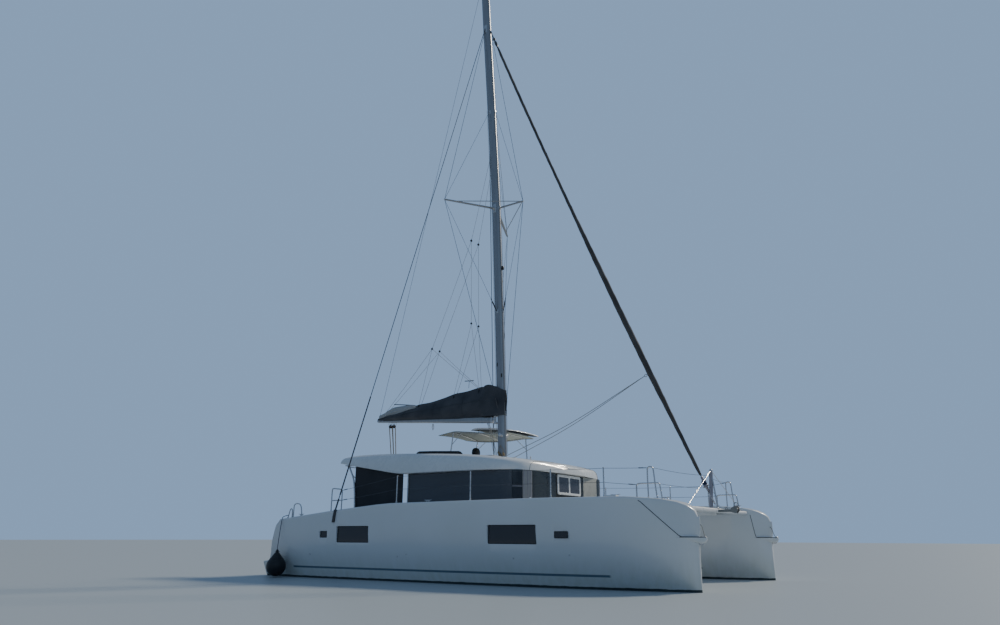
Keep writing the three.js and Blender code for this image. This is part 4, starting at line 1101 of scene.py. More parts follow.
def makeMast():
    look = mastLook
    levels = between(look["foot"], look["top"], 46)
    tube = skin([[onMast(z, d) for d in range(0, 360, 12)] for z in levels])
    corners = ((0, -0.017), (0.03, -0.017), (0.03, 0.017), (0, 0.017))
    track = skin([[onMast(z, 180, 0.012) + Vector((dx, dy, 0)) for dx, dy in corners] for z in levels[4:]])
    piece(joined([tube, track]), "mastTube", shadedMastAlloy, slot="alloy", smooth=30, stands=["mast"])
    fittings = [turnedShape([(0.24, 0), (0.24, 0.02), (0.2, 0.035), (0.165, 0.05), (0.16, 0.11), (0.15, 0.115)],
                            (mastX(3.1), 0, 3.13), steps=32)]
    x, z = look["pin"]
    ahead = mastX(z) - 0.06
    ear = [(x - 0.05, -0.03), (x - 0.03, -0.045), (ahead, -0.06), (ahead, 0.06), (x - 0.03, 0.045),
           (x - 0.05, 0.03)]
    for low, high in ((z - 0.13, z - 0.08), (z + 0.08, z + 0.13)):  # gooseneck ears
        fittings.append(softenEdges(board(ear, "z", low + 0.0003, high - 0.0003), 0.005, 2, 40))
    for side in (-1, 1):
        for at in (look["spreaders"], look["hounds"]):  # tangs and the spreaders' root socket
            fittings.append(block((mastX(at) - 0.07, side * 0.086 - 0.008, at - 0.16),
                                  (mastX(at) + 0.05, side * 0.086 + 0.008, at + 0.14), 0.006, 2))
        for at in look["wireEnds"]:
            fittings.append(block((mastX(at) - 0.05, side * 0.08 - 0.012, at - 0.07),
                                  (mastX(at) + 0.02, side * 0.08 + 0.012, at + 0.05), 0.006, 2))
    for at in look["wireEnds"]:
        x = onMast(at, 0).x
        fittings.append(block((x - 0.02, -0.03, at - 0.06), (x + 0.012, 0.03, at + 0.05), 0.006, 2))
    head = look["top"]
    x = mastX(head)
    fittings += [block((x - 0.3, -0.05, head - 0.03), (x + 0.3, 0.05, head + 0.035), 0.015, 3),
                 *(pole((x + dx, -0.03, head), (x + dx, 0.03, head), 0.055, sides=20) for dx in (-0.25, 0.25)),
                 pole((x - 0.05, 0.03, head), (x - 0.05, 0.03, look["limit"]), 0.006, 0.003, 8),
                 pole((x + 0.08, -0.02, head), (x + 0.42, -0.02, head + 0.12), 0.008, 0.006, 8),
                 ball((x + 0.42, -0.02, head + 0.13), 0.022, (1, 1, 0.7))]
    piece(joined(fittings), "mastFittings", stainless, slot="stainless", smooth=40)
    lampX = onMast(9.2, 0).x
    dark = [turnedShape([(0.035, 0), (0.04, 0.02), (0.035, 0.07), (0.02, 0.085)], (x + 0.02, 0, head + 0.03)),
            block((lampX - 0.005, -0.03, 9.15), (lampX + 0.06, 0.03, 9.27), 0.012, 3),
            hoop((x + 0.42, -0.02, head + 0.17), 0.035, 0.008, around=18, across=6)]
    for z, d in look["exits"]:
        at, half = onMast(z, d, -0.004), Vector((0.022, 0.012, 0.06))
        dark.append(block(at - half, at + half, 0.01, 3))
    piece(joined(dark), "mastLampAndExits", blackPlastic, slot="black_plastic", smooth=40)
    winches = []
    for degrees in (78, -78):
        at = onMast(3.95, degrees, 0.01)
        out = Vector((at.x - mastX(3.95), at.y * 2.2, 0)).normalized()
        winches.append(turnedShape([(0.05, 0), (0.06, 0.012), (0.045, 0.03), (0.038, 0.06), (0.048, 0.095),
                                    (0.05, 0.11), (0.03, 0.118)], at, out, 24))
    piece(joined(winches), "mastWinches", stainless, slot="stainless", smooth=40)


def makeMastRopes():  # halyards, and the spare ends coiled up in hanks at the foot
    halyards = [mastLine(28, 3.4, 18.2, 0.02, 0.006), mastLine(-30, 3.4, 20.2, 0.02, 0.006),
                mastLine(52, 3.4, 11.0, 0.018, 0.005), mastLine(150, 3.5, 20.2, 0.03, 0.006),
                mastLine(-148, 3.5, 15.0, 0.03, 0.005)]
    piece(joined(halyards), "halyards", greyRope, slot="rope", smooth=60)
    hanks = []
    for x, y, z, lean, long in mastLook["hanks"]:
        for k in range(3):
            ring = [(x + lean * (1 - math.sin(a)) + (0.02 + 0.004 * k) * math.cos(a), y + 0.015 * (k - 1),
                     z + long * (math.sin(a) - 1) + 0.01 * k) for a in around(22)]
            hanks.append(pipe(ring, 0.0085, 6, closed=True))
        hanks += [hoop((x + lean * 0.5, y, z - long * 0.5), 0.03, 0.009, (0, 0.3, 0), 18, 6),
                  pipe([(x, y, z), (x + 0.005, y + 0.01, z + 0.1),
                        (mastX(z + 0.2), math.copysign(0.09, y), z + 0.2)], 0.0075, 6)]
    piece(joined(hanks), "ropeHanksAtMast", beigeRope, slot="rope", smooth=60)


makeMast()
makeMastRopes()
print("mast stepped")

# spreaders with their ties, diamond wires and shrouds

rigLook = {"tips": {"Starboard": (-1.52, -1.78, 11.12), "Port": (-1.52, 1.78, 11.12), "Front": (0.2, 0, 11.32)},
           "wire": 0.0065, "thin": 0.005, "tieShare": 0.84, "innerHigh": 14.9, "innerLow": 7.8, "outerLow": 4.66,
           "chain": (-3.37, 3.872, 1.56)}


def wing(start, end, longRoot, longTip, thin):  # a spreader: a flat tapered tube with a rounded tip
    start, end = Vector(start), Vector(end)
    along = (end - start).normalized()
    flat = along.cross(Vector((0, 0, 1))).normalized()
    up = flat.cross(along)
    rings = []
    for share, scale in ((0, 1), (0.3, 1), (0.6, 1), (0.9, 1), (0.985, 1), (0.997, 0.8), (1.0, 0.4)):
        wide = (longRoot + (longTip - longRoot) * share) * scale
        rings.append([start + (end - start) * share + flat * math.cos(a) * wide + up * math.sin(a) * thin * scale
                      for a in around(16)])
    return skin(rings)


def makeRigging():
    look = rigLook
    root = Vector((mastX(mastLook["spreaders"]), 0, mastLook["spreaders"]))
    arms, fittings = [], []
    for name, tip in look["tips"].items():
        tip = Vector(tip)
        away = (tip - root).normalized()
        arms.append(wing(root + away * 0.08, tip + away * 0.015,
                         0.058 if name != "Front" else 0.04, 0.034, 0.026))
        fittings.append(ball(tip + away * 0.022, 0.024, (1, 1, 1.2), 8))
        fittings.append(pole(root + away * 0.06, root + away * 0.17, 0.06, 0.05, 14))
    for side in ("Starboard", "Port"):
        tied = root.lerp(Vector(look["tips"][side]), look["tieShare"])
        arms.append(pole(tied, look["tips"]["Front"], 0.013, sides=10))
        fittings.append(ball(tied, 0.024, rings=8))
    piece(joined(arms), "spreaderArms", shadedMastAlloy, slot="alloy", smooth=40, stands=["spreaders"])
    piece(joined(fittings), "spreaderTips", stainless, slot="stainless", smooth=40)
    for name, tip in look["tips"].items():
        away = (Vector(tip) - root).normalized()
        eye = Vector(tip) + away * 0.022
        degrees = {"Starboard": -105, "Port": 105, "Front": 0}[name]
        ends = [onMast(mastLook["hounds"] - 0.1, degrees, 0.004), onMast(look["outerLow"], degrees, 0.006),
                onMast(look["innerHigh"], degrees, 0.004), onMast(look["innerLow"], degrees, 0.006)]
        wires = [pole(end, eye, look["wire"] if i < 2 else look["thin"], sides=6) for i, end in enumerate(ends)]
        for end in (ends[1], ends[3]):  # turnbuckles at the lower ends
            up = (eye - end).normalized()
            wires += [pole(end, end + up * 0.42, 0.013, sides=8),
                      pole(end + up * 0.1, end + up * 0.32, 0.019, sides=10)]
        piece(joined(wires), "diamond" + name, shadedWireFinish, slot="stainless", smooth=50,
              stands=["diamond_" + name.lower()])
    for side, name in bothSides:
        x, y, z = look["chain"]
        foot = Vector((x, side * y, z))
        top = onMast(mastLook["hounds"], side * 100, 0.004)
        up = (top - foot).normalized()
        parts = [pole(foot + up * 0.62, top, 0.0105, sides=8), pole(foot, foot + up * 0.1, 0.024, sides=12),
                 pole(foot + up * 0.6, foot + up * 3.4, 0.019, 0.017, 12),
                 ball(foot + up * 3.4, 0.018, (1, 1, 1.4), 6),
                 pole(foot + up * 0.08, foot + up * 0.22, 0.013, sides=10),
                 pole(foot + up * 0.2, foot + up * 0.48, 0.021, sides=14),
                 pole(foot + up * 0.47, foot + up * 0.64, 0.012, sides=10),
                 ball(foot + up * 0.2, 0.022, rings=6), ball(foot + up * 0.48, 0.022, rings=6)]
        inner, outer = sorted((side * (y - 0.05), side * (y + 0.005)))
        plate = board([(x - 0.045, z - 0.13), (x + 0.035, z - 0.13), (x + 0.085, z + 0.2), (x + 0.01, z + 0.2)],
                      "y", inner, outer)
        parts.append(softenEdges(plate, 0.006, 2, 40))
        parts.append(pole((x, inner - 0.01, z), (x, outer + 0.005, z), 0.014, sides=12))
        piece(joined(parts), "shroud" + name, shadedWireFinish, slot="stainless", smooth=50,
              stands=["shroud_" + name.lower()])


makeRigging()
print("rigging set up")

# forestay with the furled sail round it, swivel above and drum below

jibLook = {"top": 18.3, "foot": (5.68, 0, 1.873), "headRoom": 0.1, "sag": 0.11, "sail": (0.05, 0.957),
           "radii": [(0.05, 0.037), (0.17, 0.041), (0.47, 0.044), (0.53, 0.058), (0.59, 0.068), (0.82, 0.068),
                     (0.86, 0.052), (0.93, 0.039), (0.957, 0.037)],
           "pitch": 0.55, "fold": 0.008, "clew": 0.79, "sheetEnds": (-0.3, 0.24, 3.27),
           "sheetMiddle": (1.79, 0.1, 4.12)}
stayTop = Vector((mastX(jibLook["top"]) + jibLook["headRoom"], 0, jibLook["top"]))
stayRun = Vector(jibLook["foot"]) - stayTop
stayAhead = stayRun.normalized().cross(Vector((0, 1, 0)))


def onStay(share):  # the stay hangs a little aft of a straight line
    return stayTop + stayRun * share - stayAhead * jibLook["sag"] * 4 * share * (1 - share)


def makeJib():
    look = jibLook
    across = Vector((0, 1, 0))
    start, end = look["sail"]
    radiusAt = curveThrough(look["radii"])
    rings = []
    count = 190
    for k, share in enumerate(between(start, end, count)):
        reach = (share - start) * stayRun.length
        turn = reach / look["pitch"] * math.tau
        size = radiusAt(share) * min(1, 0.4 + k / 6, 0.6 + (count - k) / 4)
        ring = []
        for angle in around(20):
            roll = ((angle - turn) % math.tau) / math.tau
            wide = size + look["fold"] * roll + 0.003 * math.sin(7 * angle + reach * 3)
            ring.append(onStay(share) + across * wide * math.cos(angle) + stayAhead * wide * math.sin(angle))
        rings.append(ring)
    sail = skin(rings)
    piece(sail, "furledSail", furledCloth, slot="canvas", smooth=55, stands=["furled_jib"])
    top, foot = onStay(0), Vector(look["foot"])
    along = (foot - onStay(0.95)).normalized()
    upper = (onStay(0.06) - top).normalized()
    parts = [pole(top, onStay(0.06), 0.008, sides=8), pole(onStay(0.95), foot - along * 0.05, 0.016, sides=12),
             ball(onStay(0.031), 0.05, (1, 1, 1.1), 12), pole(onStay(0.02), onStay(0.031), 0.02, sides=10),
             turnedShape([(0.02, 0), (0.04, 0.03), (0.05, 0.1), (0.045, 0.2), (0.03, 0.28), (0.018, 0.3)],
                         onStay(0.036), upper),
             pole(onStay(0.01), onStay(0.02), 0.026, 0.012, 12)]
    piece(joined(parts), "forestaySwivel", shadedWireFinish, slot="stainless", smooth=40)
    drum = [turnedShape([(0.024, -0.12), (0.032, -0.1), (0.034, -0.02), (0.05, -0.005), (0.072, 0),
                         (0.075, 0.008),
                         (0.052, 0.02), (0.044, 0.05), (0.046, 0.1), (0.052, 0.12), (0.075, 0.135),
                         (0.073, 0.145),
                         (0.046, 0.155), (0.036, 0.18), (0.03, 0.25), (0.02, 0.27)], onStay(0.966), along, 36)]
    piece(joined(drum), "furlingDrum", greyMauve, slot="black_plastic", smooth=40)
    line = [hoop(onStay(0.966) + along * (0.036 + 0.011 * k), 0.05, 0.0055,
                 along.to_track_quat("Z", "Y").to_euler(), 26, 6)
            for k in range(7)]  # turns of the furling line
    piece(joined(line), "furlingLine", darkRope, slot="rope", smooth=50)
    fork = [pole(foot - along * 0.28 + across * s, foot - along * 0.02 + across * s * 0.6, 0.01, sides=8)
            for s in (-0.05, 0.05)]
    fork += [pole(foot - along * 0.1 - across * 0.04, foot - along * 0.1 + across * 0.04, 0.012, sides=10),
             pole(foot - along * 0.16, foot + along * 0.02, 0.02, sides=12)]
    piece(joined(fork), "forestayFork", stainless, slot="stainless", smooth=40)
    clew = onStay(look["clew"]) - stayAhead * 0.07
    parts = [hoop(clew + Vector((-0.06, 0, -0.02)), 0.035, 0.008, (math.pi / 2, 0, 0), 20, 8)]
    x, y, z = look["sheetEnds"]
    for side in (-1, 1):
        middle = Vector(look["sheetMiddle"])
        middle.y *= side
        line = smoothPath([clew + Vector((-0.09, 0, -0.03)), middle, (x, side * y, z + 0.03)], 14)
        parts.append(pipe(line, 0.009, 6))
    piece(joined(parts), "jibSheets", greyRope, slot="rope", smooth=60)
    track = [pipe([(x + 0.06 - 0.5 * (t * t), t * 1.25, z - 0.035 - 0.02 * t * t)
                   for t in (k / 8 for k in range(-8, 9))],
                  0.016, 8)]
    track += [block((x - 0.05, s * y - 0.04, z - 0.03), (x + 0.07, s * y + 0.04, z + 0.05), 0.012, 3)
              for s in (-1, 1)]
    piece(joined(track), "jibTrack", stainless, slot="stainless", smooth=40)


makeJib()
print("headsail furled")

# boom, the bag with its sail, collar round the mast, sheet and lazy jacks

boomLook = {"start": -0.9, "end": -5.45, "half": 0.07, "rise": 0.065, "pinX": -0.79, "pinZ": 4.44}


def boomZ(x):
    return boomLook["pinZ"] + (boomLook["pinX"] - x) * boomLook["rise"]


def boomTop(x):
    return boomZ(x) + 0.09 - (-0.86 - x) * 0.01


def boomLow(x):  # the boom is slimmer towards its end
    return boomZ(x) - 0.105 + 0.014 * (-0.9 - x)


def makeBoom():
    look = boomLook
    rings = []
    for x in between(look["start"], look["end"], 12):
        low, high, half = boomLow(x), boomTop(x), look["half"]
        section = []
        for a in range(0, 360, 12):
            c, s = math.cos(math.radians(a)), math.sin(math.radians(a))
            section.append(Vector((x, half * math.copysign(abs(c) ** 0.45, c),
                                   (low + high) / 2 + (high - low) / 2 * math.copysign(abs(s) ** 0.45, s))))
        rings.append(section)
    grooves = [block((look["end"] + 0.1, s * 0.0655 - 0.006, 0),
                     (look["start"] - 0.1, s * 0.0655 + 0.006, 0.012), 0.003, 1)
               for s in (-1, 1)]
    for groove in grooves:
        for vertex in groove.data.vertices:
            vertex.co.z += boomZ(vertex.co.x) + 0.045
    piece(joined([skin(rings), *grooves]), "boomTube", spar, "boom", "alloy", 32, ["boom"])
    x, z, start, end = look["pinX"], look["pinZ"], look["start"], look["end"]
    parts = [block((start - 0.02, -0.072, boomLow(start) + 0.002), (start + 0.03, 0.072, boomTop(start) - 0.004),
                   0.012, 3),
             block((start, -0.024, z - 0.04), (x + 0.004, 0.024, z + 0.03), 0.006, 2),
             pole((x, 0, z - 0.079), (x, 0, z + 0.079), 0.028, sides=20),
             block((end - 0.004, -0.068, boomLow(end) + 0.004), (end + 0.06, 0.068, boomTop(end) - 0.004),
                   0.012, 3)]
    bail = ((-0.074, 0.04), (-0.074, 0.12), (-0.042, 0.16), (0, 0.175), (0.042, 0.16), (0.074, 0.12),
            (0.074, 0.04))
    for x in (-4.75, -4.93):  # bails that take the sheet's blocks
        parts.append(pipe([(x, y, boomZ(x) - d) for y, d in bail], 0.007, 8))
    for x in (-5.38, -5.2, -1.05):
        parts.append(pole((x, -0.078, boomZ(x)), (x, 0.078, boomZ(x)), 0.02, sides=14))
    piece(joined(parts), "boomFittings", stainless, "boom", "stainless", 40)


bagLook = {
    "split": -1.24, "aft": -5.44,
    "top": [(-5.47, 4.86), (-5.23, 4.9), (-4.6, 5.0), (-4.04, 5.1), (-3.3, 5.19), (-2.51, 5.32), (-1.74, 5.42),
            (-1.36, 5.46), (-0.94, 5.5)],
    "half": [(-5.47, 0.07), (-5.2, 0.105), (-4.15, 0.165), (-2.5, 0.2), (-1.24, 0.175), (-0.9, 0.15)],
    "shape": [(0.0, 0.4), (0.1, 0.72), (0.25, 0.96), (0.4, 1.0), (0.6, 0.84), (0.8, 0.52), (0.93, 0.24),
              (1.0, 0.06)],
    "tabs": [-5.15, -3.7, -2.3, -1.35], "skirt": 0.042, "foot": 0.079,
    "sail": [(-5.43, 4.93), (-5.19, 4.99), (-4.98, 5.09), (-4.72, 5.16), (-4.3, 5.17), (-4.04, 5.16),
             (-3.8, 5.1)]}
bagTop = curveThrough(bagLook["top"])
bagHalf = curveThrough(bagLook["half"])
bagShape = curveThrough(bagLook["shape"])


def wrinkle(point, scale):
    return mathNoise.noise(Vector(point) * scale)


def bagSide(x, share, out=0.0):  # half width and height at a share of the bag's depth
    look = bagLook
    low = boomTop(x) + 0.001 - look["skirt"] * min(max((-1.35 - x) / 0.8, 0), 1)
    sag = 0.03 * sum(math.exp(-((x - tab) / 0.28) ** 2) for tab in bagLook["tabs"])
    high = bagTop(x) - 0.02 + sag
    z = low + (high - low) * share
    wide = bagHalf(x) * bagShape(share)
    if share < 0.12:
        wide = look["foot"] + (wide - look["foot"]) * share * 9 if share * 9 < 1 else wide
    wide += 0.02 * wrinkle((x, z * 2.2, 0.3), 2.1) * math.sin(share * math.pi)
    wide += 0.007 * wrinkle((x * 0.8, z * 3, 4.2), 9.0) * math.sin(share * math.pi)
    return max(wide, 0.008) + out, z


def bagRing(x, out=0.0):
    shares = between(0, 1, 16)
    ring = [Vector((x, -bagSide(x, share, out)[0], bagSide(x, share)[1])) for share in shares]
    return ring + [Vector((x, -p.y, p.z)) for p in reversed(ring)]


def makeBag():
    look = bagLook
    xs = between(look["split"], look["aft"], 110)
    bag = piece(skin([bagRing(x) for x in xs]), "sailBag", canvas, "boom", "canvas", 50, ["sail_bag"])
    seams = []
    for x in (-1.9, -3.05, -4.25):
        ring = [p for p in bagRing(x, 0.001) if p.z > boomTop(x) + 0.02]
        seams.append(pipe(ring, 0.004, 6))
    for side in (-1, 1):
        for share in (0.045, 0.52):
            line = []
            for x in xs[::3]:
                wide, z = bagSide(x, share, 0.001)
                line.append((x, side * wide, z))
            seams.append(pipe(line, 0.0045, 6))
    seams.append(pipe([(x, 0, bagSide(x, 1)[1] + 0.004) for x in xs[::2]], 0.008, 6))
    for tab in look["tabs"]:  # webbing loops for the lazy jacks
        for side in (-1, 1):
            wide, z = bagSide(tab, 0.86, 0.004)
            loop = ((-0.02, wide + 0.02, -0.12), (-0.012, wide + 0.012, -0.02), (0, wide * 0.8, 0.07),
                    (0.012, wide + 0.012, -0.02), (0.02, wide + 0.02, -0.12))
            seams.append(pipe([(tab + dx, side * y, z + dz) for dx, y, dz in loop], 0.009, 6))
    piece(joined(seams), "bagSeams", seamBlack, "boom", "canvas", 60)
    sailTop = curveThrough(look["sail"])
    rings = []
    for k in range(41):
        x = -3.8 - (5.43 - 3.8) * k / 40
        low = bagTop(x) - 0.1
        high = sailTop(x)
        ring = []
        for a in around(28):
            pleat = 0.012 * math.sin(9 * a + x * 2) + 0.02 * wrinkle((x, a, 1.0), 2.5)
            wide = (min(bagHalf(x), 0.13) * 0.75 + pleat) * (0.35 if k == 40 else 1)
            tall = (high - low) / 2 + pleat * 0.5
            ring.append(Vector((x, wide * math.cos(a), (low + high) / 2 + tall * math.sin(a))))
        rings.append(ring)
    sail = piece(skin(rings), "stowedSail", sailCloth, "boom", "canvas", 55)
    edge = [(x, 0.02, z) for x, z in ((-3.85, 5.12), (-4.0, 5.16), (-4.3, 5.2), (-4.6, 5.235), (-4.82, 5.26))]
    piece(pipe(smoothPath(edge, 4), 0.014, 8), "sailHeadboard", canvas, "boom", "canvas", 60)


collarLook = {"front": -0.405, "low": 4.545, "thick": 0.006,
              "rows": [(-1.1, 0.15, 5.5), (-0.92, 0.138, 5.5), (-0.72, 0.13, 5.43), (-0.55, 0.124, 5.35),
                       (-0.45, 0.085, 5.305), (-0.405, 0.0, 5.29)]}


def makeCollar():  # the bag's open front, wrapped round the mast
    look, split = collarLook, bagLook["split"]
    rings = []
    for share in between(0, 1, 22):
        wideBack, zBack = bagSide(split, 0.02 + share * 0.94)
        path = [(split, wideBack, zBack)]
        for x, wide, top in look["rows"]:
            pull = 1 - 0.45 * share ** 3 * min(1, max(0, (-0.75 - x) / 0.4))
            low = look["low"] + max(0, -0.9 - x) * 0.02
            z = low + (top - low) * share
            path.append((x, wide * pull + (0.007 * wrinkle((x, z, 2), 6) if wide else 0), z))
        half = smoothPath(path, 4)
        rings.append([Vector((p.x, -p.y, p.z)) for p in half] + [Vector(p) for p in reversed(half[:-1])])
    cloth, area = clothOf(rings, look["thick"])
    cloth = piece(cloth, "bagCollar", canvas, slot="canvas", smooth=50)
    cloth.parent = None
    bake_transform(cloth)
    x, levels = look["front"], [4.6 + k * 0.075 for k in range(9)]
    lace = [(x + 0.012, 0.02 if k % 2 else -0.02, z) for k, z in enumerate(levels)]
    strings = [pipe(smoothPath(lace, 3), 0.005, 6)]
    strings += [pipe([(x + 0.004, -0.035, z + 0.01), (x + 0.018, 0, z), (x + 0.004, 0.035, z + 0.01)], 0.006, 6)
                for z in levels]
    piece(joined(strings), "collarLacing", seamBlack, slot="canvas", smooth=60)


jackLook = {"mastExit": 13.2, "blocks": [(-1.63, 0.2, 10.3), (-1.58, 0.2, 7.5), (-3.12, 0.2, 6.88)],
            "rope": 0.005, "liftTop": (-1.5, 20.2), "liftFoot": (-5.42, 4.85)}


def makeLazyJacks():
    look = jackLook
    parts, blocks = [], []
    for side in (-1, 1):
        upper, second, third = (Vector((x, side * y, z)) for x, y, z in look["blocks"])
        tabs = []
        for x in bagLook["tabs"]:
            wide, z = bagSide(x, 0.86, 0.004)
            tabs.append(Vector((x, side * wide * 0.8, z + 0.075)))
        runs = [(onMast(look["mastExit"], side * 120, 0.01), upper), (upper, second), (upper, third),
                (second, tabs[2]), (second, tabs[3]), (third, tabs[0]), (third, tabs[1]), (third, tabs[3])]
        parts += [pipe(taut(a, b, 0.006, 8), look["rope"], 6) for a, b in runs]
        blocks += [smallBlock(upper, 0.034), smallBlock(second, 0.03), smallBlock(third, 0.03)]
    ropes = piece(joined(parts), "lazyJacks", greyRope, slot="rope", smooth=60)
    ropes.parent = None
    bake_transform(ropes)
    held = piece(joined(blocks), "lazyJackBlocks", blackPlastic, slot="black_plastic", smooth=40)
    held.parent = None
    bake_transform(held)
    (x0, z0), (x1, z1) = look["liftTop"], look["liftFoot"]
    lift = pipe([(x0 + (x1 - x0) * t, 0, z0 + (z1 - z0) * t) for t in between(0, 1, 16)], 0.005, 6)
    lift = piece(lift, "toppingLift", shadedWireFinish, slot="rope", smooth=60)
    lift.parent = None
    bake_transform(lift)
    piece(joined([pole((-1.72, -0.3, 5.66), (-1.62, 0.02, 5.72), 0.014, sides=8),
                  pole((-1.67, -0.14, 5.69), (-1.7, -0.12, 5.47), 0.006, sides=6)]), "spareBatten", seamBlack,
          "boom", "canvas", 60)


sheetLook = {"top": -4.84, "low": -4.72, "rope": 0.0145}


def makeMainsheet():
    top, low = sheetLook["top"], sheetLook["low"]
    strands = []
    for dx, dy in ((-0.1, -0.03), (-0.03, 0.03), (0.04, -0.03), (0.1, 0.03)):
        a = Vector((low + dx * 0.7, dy, 3.4))
        b = Vector((top + dx, dy, boomZ(top) - 0.2))
        strands.append(pipe([a.lerp(b, t) for t in between(0, 1, 10)], sheetLook["rope"], 8))
    ropes = piece(joined(strands), "mainSheet", beigeRope, slot="rope", smooth=60)
    ropes.parent = None
    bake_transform(ropes)
    upper = [smallBlock((top + dx, 0, boomZ(top) - 0.175), 0.055) for dx in (-0.07, 0.07)]
    piece(joined(upper), "sheetBlocksUpper", blackPlastic, "boom", "black_plastic", 40)
    lower = [smallBlock((low + dx, 0, 3.385), 0.055, (0, 0, -1)) for dx in (-0.06, 0.06)]
    lower.append(block((low - 0.1, -0.07, 3.28), (low + 0.1, 0.07, 3.33), 0.015, 3))
    piece(joined(lower), "sheetBlocksLower", blackPlastic, slot="black_plastic", smooth=40)
    rail = [(low, y, 3.285 + 0.03 - 0.028 * y * y) for y in between(-1.5, 1.5, 24)]
    piece(pipe(rail, 0.018, 8), "sheetTrack", seamBlack, slot="alloy", smooth=40)
    x, z = -3.15, boomZ(-3.15)
    loop = [(x, -0.02, z - 0.1), (x - 0.01, -0.03, z - 0.22), (x, 0, z - 0.3), (x + 0.01, 0.03, z - 0.22),
            (x, 0.02, z - 0.1)]
    piece(pipe(loop, 0.009, 8), "boomRopeLoop", beigeRope, "boom", "rope", 60)
    falls = []
    for y in (-0.05, -0.01, 0.03, 0.06):
        line = [(-1.05, y, boomZ(-1.0) - 0.1), (-0.96, y * 1.1, 4.1), (-0.86, y * 1.3, 3.7),
                (-0.74, y * 1.6, 3.28)]
        falls.append(pipe(smoothPath(line, 4), 0.006, 6))
    ropes = piece(joined(falls), "reefLines", greyRope, slot="rope", smooth=60)
    ropes.parent = None
    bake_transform(ropes)


makeBoom()
makeBag()
makeCollar()
makeLazyJacks()
makeMainsheet()
print("boom rigged")

# guard rails, pulpits, gates and stern rails


def flange(at, radius=0.045):  # the round foot of a post
    return turnedShape([(radius, -0.004), (radius, 0.006), (radius * 0.9, 0.01), (radius * 0.5, 0.016),
                        (radius * 0.42, 0.05), (radius * 0.3, 0.056)], at, steps=20)


def sideDeck(x):  # the level on which posts and deck gear stand
    return sheer(x) - 0.004


railLook = {
    "radius": 0.0155, "line": 0.0042,
    "posts": [(-1.3, 3.74, 2.56), (0.98, 3.72, 2.59), (3.15, 3.66, 2.54), (4.38, 3.48, 2.54)],
    "bent": [
        [(-3.74, 3.6, 1.7), (-3.74, 3.6, 2.0), (-3.738, 3.6, 2.27), (-3.7, 3.6, 2.325), (-3.55, 3.6, 2.315),
         (-3.41, 3.6, 2.295), (-3.363, 3.6, 2.24), (-3.36, 3.6, 2.0), (-3.36, 3.6, 1.73)],
        [(5.12, 2.8, 1.9), (5.12, 2.8, 2.2), (5.122, 2.8, 2.5), (5.145, 2.8, 2.562), (5.19, 2.8, 2.577),
         (5.235, 2.8, 2.562), (5.263, 2.8, 2.5), (5.29, 2.8, 2.2), (5.325, 2.8, 1.88)],
        [(4.85, 2.8, 1.9), (4.85, 2.8, 2.15), (4.868, 2.8, 2.205), (4.93, 2.8, 2.222), (5.12, 2.8, 2.222),
         (5.32, 2.8, 2.222), (5.378, 2.8, 2.205), (5.4, 2.8, 2.15), (5.438, 2.8, 1.87)],
        [(-5.47, 3.56, 1.53), (-5.42, 3.57, 1.66), (-5.375, 3.575, 1.78), (-5.32, 3.58, 1.82),
         (-5.27, 3.585, 1.76), (-5.26, 3.59, 1.54)],
        [(-5.2, 3.6, 1.55), (-5.2, 3.6, 1.86), (-5.17, 3.602, 1.93), (-5.08, 3.61, 1.955), (-4.95, 3.615, 1.93),
         (-4.88, 3.62, 1.83), (-4.83, 3.63, 1.6)]],
    "bars": [((-3.74, 3.6, 2.01), (-3.36, 3.6, 2.01))],
    "lines": [
        [(-3.36, 3.6, 2.27), (-1.3, 3.74, 2.55), (0.98, 3.72, 2.58), (3.15, 3.66, 2.53), (4.38, 3.48, 2.53),
         (5.12, 2.8, 2.555)],
        [(-3.36, 3.6, 2.01), (-1.3, 3.74, 2.23), (0.98, 3.72, 2.26), (3.15, 3.66, 2.24), (4.38, 3.48, 2.225),
         (4.85, 2.8, 2.2)]]}


def makeRails():
    look = railLook
    radius = look["radius"]
    tubes, stern = [], []
    for x, y, top in look["posts"]:
        tubes += [pole((x, y, sideDeck(x)), (x, y, top), radius, sides=14), flange((x, y, sideDeck(x))),
                  ball((x, y, top), radius * 1.15, (1, 1, 0.8), 8),
                  pole((x, y, top - 0.34), (x, y, top - 0.3), radius)]
    for route in look["bent"]:
        places = stern if route[0][0] < -4.5 else tubes
        places.append(pipe(smoothPath(route, 4), radius, 12))
        for x, y, z in (route[0], route[-1]):
            places.append(flange((x, y, sideDeck(x)), 0.04))
    for a, b in look["bars"]:
        tubes.append(pole(a, b, radius * 0.9, sides=12))
    lines = []
    for route in look["lines"]:
        for a, b in zip(route, route[1:]):
            lines.append(pipe(taut(a, b), look["line"], 6))
        for end, into in ((route[0], route[1]), (route[-1], route[-2])):  # tensioners
            end = Vector(end)
            away = (Vector(into) - end).normalized()
            lines += [pole(end + away * 0.02, end + away * 0.09, 0.008, sides=8),
                      pole(end + away * 0.09, end + away * 0.2, 0.011, sides=10)]
    pair(joined(tubes), "guardRailTubes", stainless, "stainless", stands=["guard_rail"])
    pair(joined(lines), "lifelines", shadedWireFinish, "stainless")
    pair(joined(stern), "sternRails", stainless, "stainless", stands=["stern_rail"])
    forward = []
    for side, ends in ((-1, [((5.262, 2.8, 2.55), (5.6, 0.0, 2.55)), ((5.395, 2.8, 2.2), (5.62, 0.0, 2.26))]),
                       (1, [((5.13, 2.8, 2.57), (5.62, 0.0, 2.5)), ((4.86, 2.8, 2.21), (5.62, 0.0, 2.22))])):
        for (x, y, z), end in ends:
            forward.append(pipe(taut((x, side * y, z), end, 0.012, 10), look["line"], 6))
    piece(joined(forward), "forwardLifelines", shadedWireFinish, slot="stainless")


# posts under the roof's aft end, and the mesh curtains

